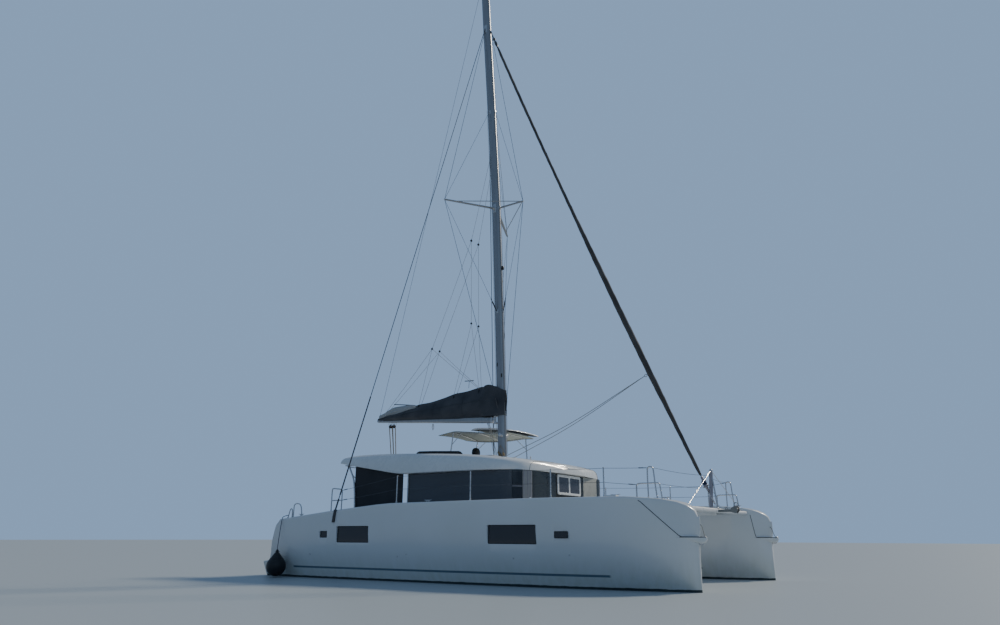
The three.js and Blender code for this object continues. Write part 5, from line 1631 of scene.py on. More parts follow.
postLook = {"radius": 0.024,
            "route": [(-3.785, 2.64, 1.5), (-3.8, 2.64, 1.9), (-3.84, 2.635, 2.35), (-3.93, 2.605, 2.65),
                      (-4.08, 2.57, 2.88), (-4.16, 2.55, 2.99), (-4.2, 2.545, 3.05)]}
curtainLook = {"y": 2.595, "aft": -3.868, "front": -2.082, "thick": 0.004, "ripple": 0.0035,
               "low": [(-3.87, 1.705), (-3.57, 1.735), (-2.08, 1.855)],
               "high": [(-3.87, 2.998), (-2.36, 2.748), (-2.08, 2.722)]}


def makePosts():
    look = postLook
    handle = [(-4.16, 2.55, 2.985), (-4.25, 2.545, 3.02), (-4.14, 2.55, 3.0), (-3.9, 2.56, 2.97)]
    parts = [pipe(smoothPath(look["route"], 5), look["radius"], 14), flange(look["route"][0], 0.065),
             pipe(smoothPath(handle, 4), 0.014),
             pole((-4.02, 2.585, 2.8), (-3.86, 2.59, 2.66), 0.012, sides=12),
             block((-4.3, 2.49, 3.03), (-4.08, 2.6, 3.06), 0.01, 2)]
    pair(joined(parts), "roofPost", stainless, "stainless", stands=["roof_post"])


def makeCurtains():
    look = curtainLook
    low, high = straightThrough(look["low"]), straightThrough(look["high"])
    for side, name in bothSides:
        rings = []
        for i, x in enumerate(between(look["aft"], look["front"], 48)):
            ring = []
            for j, z in enumerate(between(low(x), high(x), 36)):
                inside = math.sin(math.pi * i / 48) * math.sin(math.pi * j / 36)
                pull = math.sin(17 * i / 48 + 1.5 * math.sin(z * 4)) + 0.6 * wrinkle((x, z, 1), 3)
                ring.append(Vector((x, side * (look["y"] + look["ripple"] * pull * inside), z)))
            rings.append(ring)
        lower, upper = [ring[0] for ring in rings], [ring[-1] for ring in rings]
        cloth, area = clothOf(rings, look["thick"])
        cloth = piece(cloth, "sideCurtain" + name, meshCloth, slot="curtain", smooth=50,
                      stands=["side_curtain_" + name.lower()])
        hems = [pipe(line, 0.0055, 6) for line in (lower, upper, rings[0], rings[-1])]
        for p in lower[2:-1:6] + upper[2:-1:6]:  # eyelets
            hems.append(pole(p - Vector((0, 0.008, 0)), p + Vector((0, 0.008, 0)), 0.011, sides=12))
        piece(joined(hems), "curtainHems" + name, seamBlack, slot="curtain", smooth=50)


makeRails()
makePosts()
makeCurtains()
print("rails, posts and curtains in place")

# the striker over the crossbeam, bow roller and nets

strikerLook = {"top": (5.64, 0, 2.68), "foot": (5.578, 0, 1.7203), "radius": 0.046, "leg": 0.013, "side": 0.0075,
               "legFoot": (5.745, 0.04, 1.765), "sideFoot": (5.714, 2.01, 1.765)}


def makeStriker():
    look = strikerLook
    top, foot = Vector(look["top"]), Vector(look["foot"])
    length, up = (top - foot).length, (top - foot).normalized()
    column = turnedShape([(0.06, 0), (0.06, 0.02), (look["radius"], 0.05), (look["radius"], length - 0.1),
                          (0.036, length - 0.03), (0.03, length - 0.004)], foot, up, 24)
    saddle = block((foot.x - 0.075, -0.064, foot.z), (foot.x + 0.075, 0.064, foot.z + 0.0147), 0.006, 2)
    piece(joined([column, saddle]), "strikerColumn", greyMauve, slot="stainless", smooth=40)
    parts = []
    for side in (-1, 1):
        leg, end = (Vector((x, side * y, z)) for x, y, z in (look["legFoot"], look["sideFoot"]))
        away = (top - end).normalized()
        parts += [pole(leg, top, look["leg"], sides=12), ball(leg, 0.02, rings=6),
                  pole(end, top, look["side"], sides=10),
                  pole(end + away * 0.1, end + away * 0.34, 0.012, sides=12),
                  block(end - Vector((0.03, 0.03, 0.02)), end + Vector((0.03, 0.03, 0.02)), 0.006, 2)]
    parts += [ball(top, 0.04, (1, 1, 0.8)), block((5.6, -0.05, 2.655), (5.68, 0.05, 2.675), 0.006, 2)]
    piece(joined(parts), "strikerFrame", stainless, slot="stainless", smooth=40, stands=["striker"])


def makeBowRoller():
    plank = [(5.74, -0.055), (6.16, -0.055), (6.195, -0.035), (6.2, 0.0), (6.195, 0.035), (6.16, 0.055),
             (5.74, 0.055)]
    parts = [softenEdges(board(plank, "z", 1.675, 1.735), 0.008, 2)]
    cheek = [(6.08, 1.67), (6.2, 1.64), (6.25, 1.7), (6.24, 1.78), (6.18, 1.82), (6.08, 1.76)]
    for side in (-1, 1):
        parts.append(softenEdges(board(cheek, "y", side * 0.074 - 0.004, side * 0.074 + 0.004), 0.002, 1))
    parts += [hoop((6.19, 0, 1.84), 0.05, 0.009, (math.pi / 2, 0, 0), 20, 8),
              hoop((5.95, 0.0, 1.765), 0.04, 0.008, (0.3, 1.2, 0), 20, 8)]
    piece(joined(parts), "bowRollerFrame", greyPaint, slot="stainless", smooth=40)
    roller = turnedShape([(0.012, -0.07), (0.05, -0.068), (0.045, -0.04), (0.032, 0), (0.045, 0.04),
                          (0.05, 0.068), (0.012, 0.07)], (6.19, 0, 1.725), (0, 1, 0), 24)
    piece(roller, "bowRoller", blackPlastic, slot="black_plastic", smooth=40)


netLook = {"aft": 2.905, "front": 5.652, "inner": 0.072, "z": 1.696, "cell": 0.062, "cord": 0.0042}


def netOuter(x):
    return 2.262 - 0.024 * (x - netLook["aft"]) / (netLook["front"] - netLook["aft"])


def makeNets():
    look = netLook
    columns = round((look["front"] - look["aft"]) / look["cell"])
    lanes = round((netOuter(4) - look["inner"]) / look["cell"])
    rings = []
    for i, x in enumerate(between(look["aft"], look["front"], columns)):
        ring = []
        for j, y in enumerate(between(look["inner"], netOuter(x), lanes)):
            sag = 0.004 * math.sin(math.pi * i / columns) * math.sin(math.pi * j / lanes)
            ring.append(Vector((x, y, look["z"] - sag)))
        rings.append(ring)
    rim = [pipe(side, 0.007, 6) for side in ([ring[0] for ring in rings], [ring[-1] for ring in rings],
                                             rings[0], rings[-1])]
    net = skin(rings, capped=False, closedRings=False)
    modify(net, "WIREFRAME", thickness=look["cord"], use_replace=True, use_boundary=True, use_even_offset=False)
    lacing = []
    for i in range(0, columns, 2):
        a, b = rings[i][lanes], rings[i + 1][lanes]
        lacing.append(pipe([a, a.lerp(b, 0.5) + Vector((0, 0.014, 0.0)), b], 0.003, 5))
    pair(joined([net, *rim, *lacing]), "trampoline", netCord, "netting", 0, ["trampoline"])


makeStriker()
makeBowRoller()
makeNets()
print("striker and nets set")

# bimini, its frame and the visor over the helm

biminiLook = {
    "x": (-3.228, -0.6), "y": (0.402, 1.898), "crown": 0.03, "thick": 0.004,
    "near": [(-3.24, 4.17), (-3.06, 4.2), (-2.85, 4.23), (-2.59, 4.258), (-2.27, 4.23), (-1.96, 4.195),
             (-1.44, 4.14), (-0.9, 4.1), (-0.6, 4.075)],
    "far": [(-3.24, 4.17), (-2.7, 4.09), (-2.0, 4.045), (-1.55, 4.04), (-0.93, 4.07), (-0.6, 4.06)],
    "bows": (-2.7, -1.77, -0.84), "tube": 0.0135, "tubeY": (0.48, 1.82), "legs": [(-2.7, -2.84), (-0.84, -0.78)],
    "leg": 0.018,
    "visor": [(-1.98, 4.265), (-1.84, 4.305), (-1.45, 4.295), (-1.02, 4.25), (-0.64, 4.185), (-0.36, 4.115)],
    "visorY": (0.42, 1.88), "visorFront": (-0.6, -0.39), "visorThick": 0.066}
biminiNear = curveThrough(biminiLook["near"])
biminiFar = curveThrough(biminiLook["far"])
visorTop = curveThrough(biminiLook["visor"])


def biminiPoint(x, y, lift=0.0):  # on the cloth's underside
    y0, y1 = biminiLook["y"]
    share = min(max((y - y0) / (y1 - y0), 0), 1)
    crown = biminiLook["crown"] * math.sin(math.pi * share) ** 0.8
    return Vector((x, y, biminiNear(x) * (1 - share) + biminiFar(x) * share + crown + lift))


def visorPoint(along, share, lift=0.0):  # on the visor's top, whose front edge runs aslant
    look = biminiLook
    (y0, y1), (frontNear, frontFar) = look["visorY"], look["visorFront"]
    start = look["visor"][0][0]
    x = start + (frontNear + (frontFar - frontNear) * share - start) * along
    crown = look["crown"] * math.sin(math.pi * share) ** 0.8
    return Vector((x, y0 + (y1 - y0) * share, visorTop(x) + crown + lift))


def makeBimini():
    look = biminiLook
    (x0, x1), (y0, y1) = look["x"], look["y"]
    rings = [[biminiPoint(x, y) for y in between(y0, y1, 26)] for x in between(x0, x1, 44)]
    cloth, area = clothOf(rings, look["thick"], 1)
    cloth = piece(cloth, "biminiTop", awningCloth, slot="awning", smooth=50, stands=["bimini_top"])
    hems = [pipe([ring[0] for ring in rings], 0.009, 8), pipe(rings[0], 0.009, 8), pipe(rings[-1], 0.009, 8)]
    for x in (-2.7, -1.7, -0.8):
        hems.append(pipe([biminiPoint(x, y, 0.005) for y in between(y0, y1, 16)], 0.006, 6))
    piece(joined(hems), "biminiHems", awningCloth, slot="awning", smooth=50)
    piece(pipe([ring[-1] for ring in rings], 0.012, 8), "biminiLowerHem", canvas, slot="awning", smooth=50)
    tubes = []
    (aft, _), (ahead, _) = look["legs"]
    for y in look["tubeY"]:
        tubes.append(pipe([biminiPoint(x, y, -look["tube"] - 0.002) for x in between(aft, ahead, 16)],
                          look["tube"], 12))
        for x, foot in look["legs"]:
            top = biminiPoint(x, y, -0.012)
            base = Vector((foot, y, roofUpper(foot) + 0.03))
            tubes += [pole(base, top, look["leg"], sides=14), flange(base + Vector((0, 0, 0.005)), 0.05)]
            inward = 0.34 if x < -1.5 else -0.34
            tubes.append(pole(base.lerp(top, 0.58), biminiPoint(x + inward, y, -0.014), 0.009, sides=10))
    for x in look["bows"]:
        tubes.append(pipe([biminiPoint(x, y, -0.0145) for y in between(*look["tubeY"], 16)], 0.0125, 12))
    piece(joined(tubes), "biminiTubes", stainless, slot="stainless", smooth=40, stands=["bimini_frame"])


def makeVisor():  # a rigid visor over the cloth's front half
    look = biminiLook
    shells = {"top": [], "lining": []}
    for i in range(25):
        thick = look["visorThick"] * min(1, 0.4 + i / 5, 0.4 + (24 - i) / 5)
        for part, high, low, inset in (("top", 0, thick * 0.8, 0),
                                       ("lining", thick * 0.8 + 0.0004, thick, 0.012)):
            along = inset + (1 - 2 * inset) * i / 24
            upper = [visorPoint(along, inset + (1 - 2 * inset) * j / 20, -high) for j in range(21)]
            shells[part].append(upper + [p - Vector((0, 0, low - high)) for p in reversed(upper)])
    struts = []
    start = look["visor"][0][0]
    run = look["visorFront"][0] - start
    for x in (-1.8, -1.25, -0.72):
        for share in (0.12, 0.5, 0.88):
            top = visorPoint((x - start) / run, share)
            top = visorPoint((x - start) / (top.x - x + run), share)
            struts.append(pole(biminiPoint(top.x, top.y), top - Vector((0, 0, 0.03)), 0.012, sides=10))
    visor = softenEdges(skin(shells["top"]), 0.007, 2, 50)
    piece(joined([visor, *struts]), "helmVisor", gelcoat, slot="gelcoat", smooth=40)
    piece(skin(shells["lining"]), "helmVisorLining", blackVinyl, slot="rubber", smooth=40)


makeBimini()
makeVisor()
print("bimini stretched")

# helm with its wheel, coaming and seat, the cockpit's bench and table, and the saloon door

helmLook = {"wheel": (-2.49, 1.21, 3.13), "rim": 0.37, "face": -2.4, "pod": (-2.29, 1.15),
            "podRows": [(3.4203, 0.06), (3.45, 0.082), (3.53, 0.122), (3.6, 0.142), (3.66, 0.148), (3.72, 0.134),
                        (3.765, 0.108), (3.79, 0.075), (3.8, 0.04)]}


def makeHelm():
    dressed("helm_station", "helmStation", gelcoat, slot="gelcoat", round=0.022)
    face = helmLook["face"]
    dark = []
    for y0, y1, z0, z1 in ((1.52, 1.8, 3.16, 3.36), (0.63, 0.86, 3.2, 3.36)):
        dark.append(softenEdges(block((face - 0.018, y0, z0), (face + 0.002, y1, z1), 0.012, 3), 0.002, 1, 60))
    compass = [(0.065, 0), (0.07, 0.02), (0.06, 0.05), (0.03, 0.072), (0.004, 0.078)]
    dark += [turnedShape(compass, (-2.24, 0.78, 3.418), steps=28),
             block((-2.36, 1.62, 3.418), (-2.2, 1.8, 3.46), 0.018, 3)]
    for k in (0, 1):  # throttle levers
        y = 1.68 + 0.06 * k
        dark += [pole((-2.28, y, 3.45), (-2.31 + 0.03 * k, y, 3.56), 0.01, sides=10),
                 ball((-2.312 + 0.03 * k, y, 3.575), 0.02, (0.8, 1.2, 1))]
    for k in range(5):  # switches
        y = 0.66 + 0.045 * k
        dark.append(pole((face - 0.01, y, 3.12), (face + 0.001, y, 3.12), 0.013, 0.015, 12))
    piece(joined(dark), "helmInstruments", blackPlastic, slot="black_plastic", smooth=40)
    screens = [block((face - 0.0195, y0, z0), (face - 0.0175, y1, z1), 0.001, 1)
               for y0, y1, z0, z1 in ((1.54, 1.78, 3.18, 3.34), (0.65, 0.84, 3.22, 3.34))]
    piece(joined(screens), "helmScreens", darkGlass, slot="glazing", smooth=30)
    px, py = helmLook["pod"]
    rings = []
    for high, size in helmLook["podRows"]:
        rings.append([Vector((px + 0.72 * size * math.copysign(abs(math.cos(a)) ** 0.7, math.cos(a)),
                              py + size * math.copysign(abs(math.sin(a)) ** 0.7, math.sin(a)), high))
                      for a in around(24)])
    piece(skin(rings), "instrumentPod", blackPlastic, slot="black_plastic", smooth=50, stands=["instrument_pod"])


def makeWheel():
    (x, y, z), radius = helmLook["wheel"], helmLook["rim"]
    wheel = [hoop((x, y, z), radius, 0.015, (0, math.pi / 2, 0), 64, 12),
             turnedShape([(0.034, 0), (0.036, 0.03), (0.05, 0.06), (0.055, 0.08), (0.05, 0.1), (0.02, 0.112)],
                         (helmLook["face"] - 0.0003, y, z), (-1, 0, 0), 24)]
    wrap = []
    for spoke in (angle + math.pi / 2 for angle in around(5)):
        c, s = math.cos(spoke), math.sin(spoke)
        wheel.append(pole((x + 0.012, y + 0.04 * c, z + 0.04 * s), (x, y + radius * c, z + radius * s),
                          0.011, 0.008, 10))
        start = spoke + 0.14
        wrap.append(pipe([(x, y + radius * math.cos(a), z + radius * math.sin(a))
                          for a in between(start, start + 0.98, 10)], 0.0185, 10))
    piece(joined(wheel), "steeringWheel", stainless, "steering_wheel", "stainless", 40, ["steering_wheel"])
    piece(joined(wrap), "wheelGrip", blackVinyl, "steering_wheel", "rubber", 50)


coamingLook = {"y": (0.26, 0.4), "top": [(-4.15, 3.72), (-3.4, 3.69), (-2.15, 3.62)]}


def makeHelmCoaming():  # a low covered coaming along the helm's inner side
    y0, y1 = coamingLook["y"]
    top = straightThrough(coamingLook["top"])
    count = 28
    rings = []
    for k, x in enumerate(between(-4.15, -2.15, count)):
        low, high = roofUpper(x) + 0.03, top(x)
        high -= (high - low) * (0.75 * max(0, 1 - k / 3, 1 - (count - k) / 3)) ** 2
        wave = 0.004 * math.sin(k * 1.9)
        bend = low + (high - low) * 0.6
        section = ((y0, low), (y0 + 0.005, bend), (y0 + 0.03, high - 0.022 + wave), ((y0 + y1) / 2, high),
                   (y1 - 0.03, high - 0.022 - wave), (y1 - 0.005, bend), (y1, low))
        rings.append([Vector((x, y, z)) for y, z in section])
    piece(skin(rings), "helmCoaming", blackVinyl, slot="rubber", smooth=50)


padLook = {"voxel": 0.012, "pressure": 4.0, "steps": 20, "cap": 0.014, "round": 0.035, "welt": 0.0055,
           "weltInset": 0.012, "weltRound": 0.03}


def puffedPad(low, high):  # a sewn pad, swollen by simulation up to a cap and then crowned
    cap = padLook["cap"]
    inset = cap * 0.75
    pad = block([a + inset for a in low], [b - inset for b in high], padLook["round"], 4)
    modify(pad, "REMESH", mode="VOXEL", voxel_size=padLook["voxel"])
    start = [vertex.co.copy() for vertex in pad.data.vertices]
    only(pad)
    bpy.ops.object.modifier_add(type="CLOTH")
    cloth = pad.modifiers[-1]
    cloth.settings.quality = 5
    cloth.settings.mass = 0.3
    cloth.settings.use_pressure = True
    cloth.settings.uniform_pressure_force = padLook["pressure"]
    cloth.settings.effector_weights.gravity = 0
    cloth.point_cache.frame_end = padLook["steps"]
    for step in range(1, padLook["steps"] + 1):
        bpy.context.scene.frame_set(step)
    only(pad)
    bpy.ops.object.modifier_apply(modifier=cloth.name)
    bpy.context.scene.frame_set(1)
    middle = [(a + b) / 2 for a, b in zip(low, high)]
    for vertex, first in zip(pad.data.vertices, start):
        move = vertex.co - first
        if move.length > cap:
            move *= cap / move.length
        vertex.co = first + move
        crown = 1.0
        for axis in (0, 1):
            half = (high[axis] - low[axis]) / 2
            crown *= 1 - 0.9 * min(abs(vertex.co[axis] - middle[axis]) / half, 1) ** 4
        crease = 0.004 * wrinkle(vertex.co, 5.0)
        if vertex.co.z > middle[2]:
            vertex.co.z = min(vertex.co.z + inset * crown * 0.4 + crease, high[2] + 0.006)
        vertex.co.z = max(vertex.co.z, low[2] + 0.0004)
    modify(pad, "SMOOTH", factor=0.5, iterations=2)
    return pad


def welt(low, high, level):  # the piped seam round a pad
    inset, round = padLook["weltInset"], padLook["weltRound"]
    x0, y0 = low[0] + inset + round, low[1] + inset + round
    x1, y1 = high[0] - inset - round, high[1] - inset - round
    line = []
    for x, y, start in ((x1, y1, 0), (x0, y1, 90), (x0, y0, 180), (x1, y0, 270)):
        for a in (math.radians(start + 22.5 * k) for k in range(5)):
            line.append((x + round * math.cos(a), y + round * math.sin(a), level))
    return pipe(line, padLook["welt"], 6, closed=True)


cushionLook = {"bench": (-5.15, -4.59, -1.48, 1.48, 1.4203, 1.52), "pads": 3, "gap": 0.006, "seam": 0.022,
               "seat": (-3.42, -2.98, 0.63, 1.79, 2.7003, 2.8), "restFront": -3.32, "rest": (2.802, 3.15)}


def makeCushions():
    look = cushionLook
    seam = look["seam"]
    x0, x1, y0, y1, z0, z1 = look["bench"]
    wide = (y1 - y0) / look["pads"]
    pads, seams = [], []
    for start in (y0 + wide * k for k in range(look["pads"])):
        end = start + wide - look["gap"]
        pads.append(puffedPad((x0, start, z0), (x1, end, z1)))
        seams += [welt((x0, start), (x1, end), level) for level in (z0 + seam, z1 - seam)]
    bench = piece(joined(pads), "benchCushion", cushionCloth, slot="cushion", smooth=60,
                  stands=["bench_cushion"])
    x0, x1, y0, y1, z0, z1 = look["seat"]
    seat = puffedPad((x0, y0, z0), (x1, y1, z1))
    seams += [welt((x0, y0), (x1, y1), level) for level in (2.722, 2.778)]
    rest = puffedPad((x0, y0, look["rest"][0]), (look["restFront"], y1, look["rest"][1]))
    chair = piece(joined([seat, rest]), "helmSeat", cushionCloth, slot="cushion", smooth=60,
                  stands=["helm_seat"])
    piece(joined(seams), "cushionPiping", greyPlastic, slot="cushion", smooth=50)


tableLook = {"x": (-4.15, -3.15), "y": (-1.75, -0.65), "top": (1.7, 1.732), "edge": 0.025,
             "foot": (-3.65, -1.2, 1.0003),
             "leg": [(0.18, 0), (0.18, 0.012), (0.16, 0.024), (0.07, 0.034), (0.06, 0.06), (0.06, 0.66),
                     (0.09, 0.68), (0.13, 0.699)]}


def makeTable():
    look = tableLook
    (x0, x1), (y0, y1), edge = look["x"], look["y"], look["edge"]
    top = slab(x0, x1, y0, y1, *look["top"], 0.06)
    rim = slab(x0, x1, y0, y1, 1.701, 1.74, 0.06)
    cutAway(rim, [slab(x0 + edge, x1 - edge, y0 + edge, y1 - edge, 1.6, 1.8, 0.05)])
    joint = block((x0 + 0.001, -1.203, 1.7325), (x1 - 0.001, -1.197, 1.7335))
    piece(softenEdges(joined([top, rim]), 0.004, 2), "cockpitTable", teak, slot="wood", smooth=30,
          stands=["cockpit_table"])
    piece(joint, "tableSeam", seamBlack, slot="wood", smooth=30)
    leg = turnedShape(look["leg"], look["foot"], steps=36)
    piece(leg, "tableLeg", stainless, slot="alloy", smooth=40)


def makeDoor():
    dressed("saloon_door", "saloonDoor", spar, "saloon_door", "alloy", 0.006)
    pane = block((-2.083, -0.45, 1.245), (-2.069, 0.32, 2.7), 0.002, 1)
    piece(pane, "doorPane", darkGlass, "saloon_door", "glazing", 30)
    bow = [(-2.097, 1.75), (-2.125, 1.77), (-2.128, 1.9), (-2.125, 2.03), (-2.097, 2.05)]
    grip = [pipe(smoothPath([(x, 0.335, z) for x, z in bow], 4), 0.009, 10),
            block((-2.101, 0.31, 1.66), (-2.095, 0.358, 1.72), 0.002, 2)]
    piece(joined(grip), "doorGrip", stainless, "saloon_door", "stainless", 40)
    track = [block((-2.1, -1.36, 1.0005), (-2.053, 0.37, 1.006), 0.001, 1),
             block((-2.1, -1.36, 2.8), (-2.05, 0.37, 2.83), 0.004, 2)]
    piece(joined(track), "doorTracks", spar, slot="alloy", smooth=30)


makeHelm()
makeWheel()
makeHelmCoaming()
makeCushions()
makeTable()
makeDoor()
print("helm, cushions, table and door made")

# lids and hatches that open

lidLook = {"engine_hatch": {"box": (-4.794, -3.926, 2.606, 3.394, 1.5), "hinge": -3.926, "name": "engineHatch"},
           "locker_lid": {"box": (2.056, 2.724, 0.606, 1.694, 1.86), "hinge": 2.056, "name": "lockerLid"}}


def makeLids():
    for node, look in lidLook.items():
        x0, x1, y0, y1, top = look["box"]
        for side, name in bothSides:
            body = node + "_" + name.lower()
            dressed(body, look["name"] + name, gelcoat, body, "gelcoat", 0.006)
            ya, yb = sorted((side * (y0 + 0.05), side * (y1 - 0.05)))
            pad = slab(x0 + 0.05, x1 - 0.05, ya, yb, top - 0.002, top + 0.0025, 0.05)
            piece(pad, look["name"] + "Grip" + name, nonSkid, body, "gelcoat", 30)
            hinge, middle = look["hinge"], (ya + yb) / 2
            inward = 1 if hinge < (x0 + x1) / 2 else -1
            pin = hinge + 0.012 * inward
            low, high = sorted((hinge, hinge + 0.045 * inward))
            metal = []
            for y in (middle - 0.28, middle + 0.28):
                metal += [pole((pin, y - 0.04, top + 0.004), (pin, y + 0.04, top + 0.004), 0.007, sides=12),
                          block((low, y - 0.03, top - 0.0005), (high, y + 0.03, top + 0.003), 0.001, 1)]
            ring = [(0.028, 0), (0.028, 0.003), (0.022, 0.005), (0.016, 0.001), (0.004, 0.001)]
            metal.append(turnedShape(ring, (x0 + x1 - hinge - 0.028 * inward, middle, top + 0.0005), steps=24))
            piece(joined(metal), look["name"] + "Fittings" + name, stainless, body, "stainless", 40)


# rudders, drives and propellers under water, and the engines

underLook = {
    "rudder": {"x": -5.45,
               "rows": [(-0.33, 0.15, 0.32, 0.032), (-0.36, 0.16, 0.33, 0.04), (-0.7, 0.14, 0.3, 0.037),
                        (-1.0, 0.12, 0.22, 0.03), (-1.1, 0.1, 0.19, 0.022), (-1.13, 0.07, 0.15, 0.008)]},
    "drive": {"x": -4.56,
              "rows": [(-0.4303, 0.19, 0.06), (-0.5, 0.16, 0.05), (-0.62, 0.13, 0.042), (-0.78, 0.118, 0.04),
                       (-0.9, 0.11, 0.034), (-0.94, 0.07, 0.012)], "shaft": -0.82,
              "blade": [(0.04, 0.04, 0.013), (0.08, 0.058, 0.011), (0.13, 0.074, 0.008), (0.175, 0.066, 0.006),
                        (0.203, 0.042, 0.004), (0.214, 0.018, 0.002)]}}


def foilRing(x, y, z, front, aft, half):
    ring = []
    for side, shares in ((1, between(0, 1, 13)), (-1, between(1, 0, 13))):
        for t in shares:
            along = front - (front + aft) * (1 - math.cos(math.pi * t)) / 2
            u = (front - along) / (front + aft)
            swell = 2.97 * math.sqrt(max(u, 0)) - 1.26 * u - 3.516 * u * u + 2.843 * u ** 3 - 1.015 * u ** 4
            ring.append(Vector((x + along, y + side * max(half * swell, 0.002), z)))
    return ring


def makeUnderwater():
    y = hullLook["centre"]
    look = underLook["rudder"]
    blade = skin([foilRing(look["x"], y, z, front, aft, half) for z, front, aft, half in look["rows"]])
    stock = pole((look["x"], y, -0.2903), (look["x"], y, -0.42), 0.032, sides=24)
    pair(joined([blade, stock]), "rudder", bottomPaint, "antifouling", 40, ["rudder"], "rudder")
    look = underLook["drive"]
    x, shaft = look["x"], look["shaft"]
    leg = skin([foilRing(x, y, z, long, long, wide) for z, long, wide in look["rows"]])
    torpedo = turnedShape([(0.02, 0), (0.045, 0.012), (0.058, 0.04), (0.062, 0.09), (0.062, 0.3), (0.056, 0.36),
                           (0.05, 0.3895)], (x + 0.19, y, shaft), (-1, 0, 0), 28)
    fin = skin([foilRing(x - 0.02, y, z, long, long, 0.012) for z, long in ((-0.875, 0.12), (-0.97, 0.06),
                                                                            (-0.985, 0.03))])
    pair(joined([leg, torpedo, fin]), "saildrive", greyPaint, "grey_paint", 40, ["saildrive"])
    hubX = x - 0.2003
    hub = [(0.052, 0), (0.055, 0.01), (0.053, 0.07), (0.044, 0.105), (0.026, 0.128), (0.008, 0.13)]
    spin = [turnedShape(hub, (hubX, y, shaft), (-1, 0, 0), 28)]
    rings = []
    for r, wide, thick in look["blade"]:
        twist = math.radians(64 - 190 * (r - 0.04))
        c, s = math.cos(twist), math.sin(twist)
        section = [(wide * math.cos(a), thick * math.sin(a)) for a in around(14)]
        rings.append([Vector((u * c + v * s * 0.6, u * s - v * c, r)) for u, v in section])
    for angle in around(3):
        turn = Matrix.Translation((hubX - 0.065, y, shaft)) @ Matrix.Rotation(angle, 4, "X")
        spin.append(skin([[turn @ p for p in ring] for ring in rings]))
    pair(joined(spin), "propeller", bronze, "bronze", 40, ["propeller"], "propeller")


engineBox = (-4.68, -4.0, 2.66, 3.12, 0.0403, 0.7)


def makeEngines():
    x0, x1, y0, y1, z0, z1 = engineBox
    ym = (y0 + y1) / 2
    wheel = [(0.11, 0), (0.12, 0.02), (0.12, 0.07), (0.05, 0.09)]
    oilFilter = [(0.045, 0), (0.05, 0.01), (0.05, 0.1), (0.03, 0.11)]
    pulley = [(0.05, 0), (0.06, 0.01), (0.06, 0.05), (0.03, 0.06)]
    parts = [block((x0 + 0.06, y0 + 0.09, 0.2), (x1 - 0.12, y1 - 0.09, 0.56), 0.02, 3),
             block((x0 + 0.1, y0 + 0.14, 0.55), (x1 - 0.16, y1 - 0.14, z1 - 0.002), 0.03, 4),
             block((x0, ym - 0.1, 0.14), (x0 + 0.1, ym + 0.1, 0.5), 0.03, 3),
             turnedShape(wheel, (x1 - 0.12, ym, 0.3), (1, 0, 0), 28),
             turnedShape(oilFilter, (x0 + 0.2, y1 - 0.11, 0.35), (0, 1, 0), 20),
             turnedShape(pulley, (x1 - 0.12, ym + 0.1, 0.48), (1, 0, 0), 20)]
    for x in (x0 + 0.1, x1 - 0.24):  # feet
        parts += [block((x, y, z0), (x + 0.09, y + 0.05, 0.22), 0.012, 2) for y in (y0, y1 - 0.05)]
    for x in (x0 + 0.12 + 0.09 * k for k in range(5)):  # ribs on the cylinder block
        parts.append(block((x, y0 + 0.075, 0.24), (x + 0.03, y0 + 0.1, 0.52), 0.006, 2))
    for x in (x0 + 0.15 + 0.1 * k for k in range(4)):  # fuel pipes
        line = [(x, y0 + 0.14, 0.58), (x, y0 + 0.06, 0.56), (x + 0.01, y0 + 0.05, 0.42)]
        parts.append(pipe(smoothPath(line, 4), 0.008, 8))
    belt = [(x1 - 0.04, ym + 0.1, 0.54), (x1 - 0.05, ym - 0.06, 0.42), (x1 - 0.04, ym - 0.11, 0.3),
            (x1 - 0.04, ym + 0.06, 0.2), (x1 - 0.04, ym + 0.13, 0.4)]
    parts.append(pipe(smoothPath(belt, 5), 0.008, 6, closed=True))
    pair(joined(parts), "engine", engineIron, "engine_iron", 40, ["engine"])


makeLids()
makeUnderwater()
makeEngines()
print("lids, rudders, drives and engines made")

# small gear on the decks, the roof and the bows

gearLook = {
    "cleats": [(5.45, 2.62, 8), (4.62, 3.42, -14), (-0.3, 3.73, 0), (-4.75, 3.72, 0), (-5.95, 2.6, 0)],
    "hatches": [(4.0, 2.95, 0.28, 0.24), (1.2, 3.1, 0.24, 0.2), (-0.9, 3.15, 0.2, 0.16)],
    "roofHatches": [(0.35, 1.1, 0.3, 0.3), (-0.2, -1.2, 0.26, 0.26)],
    "pads": [(3.2, 4.9, 2.55, 3.35), (1.75, 2.65, 2.55, 3.45), (-0.2, 0.85, 2.62, 3.5),
             (-1.9, -1.15, 2.62, 3.5)],
    "winches": [(-2.02, 0.62), (-2.02, 1.0), (-2.02, 1.38)], "ventPost": (0.43, 3.28), "hatchRound": 0.05,
    "outlets": [(-4.3, 0.62, 0.03), (-1.2, 0.6, 0.022), (-0.9, 0.66, 0.018), (2.2, 0.62, 0.022),
                (3.6, 0.7, 0.018)]}


def roofSkin(x, y):
    return roofUpper(x) + 0.05 - 0.035 * min(1, abs(y) / roofHalf(x)) ** 2 * 1.1


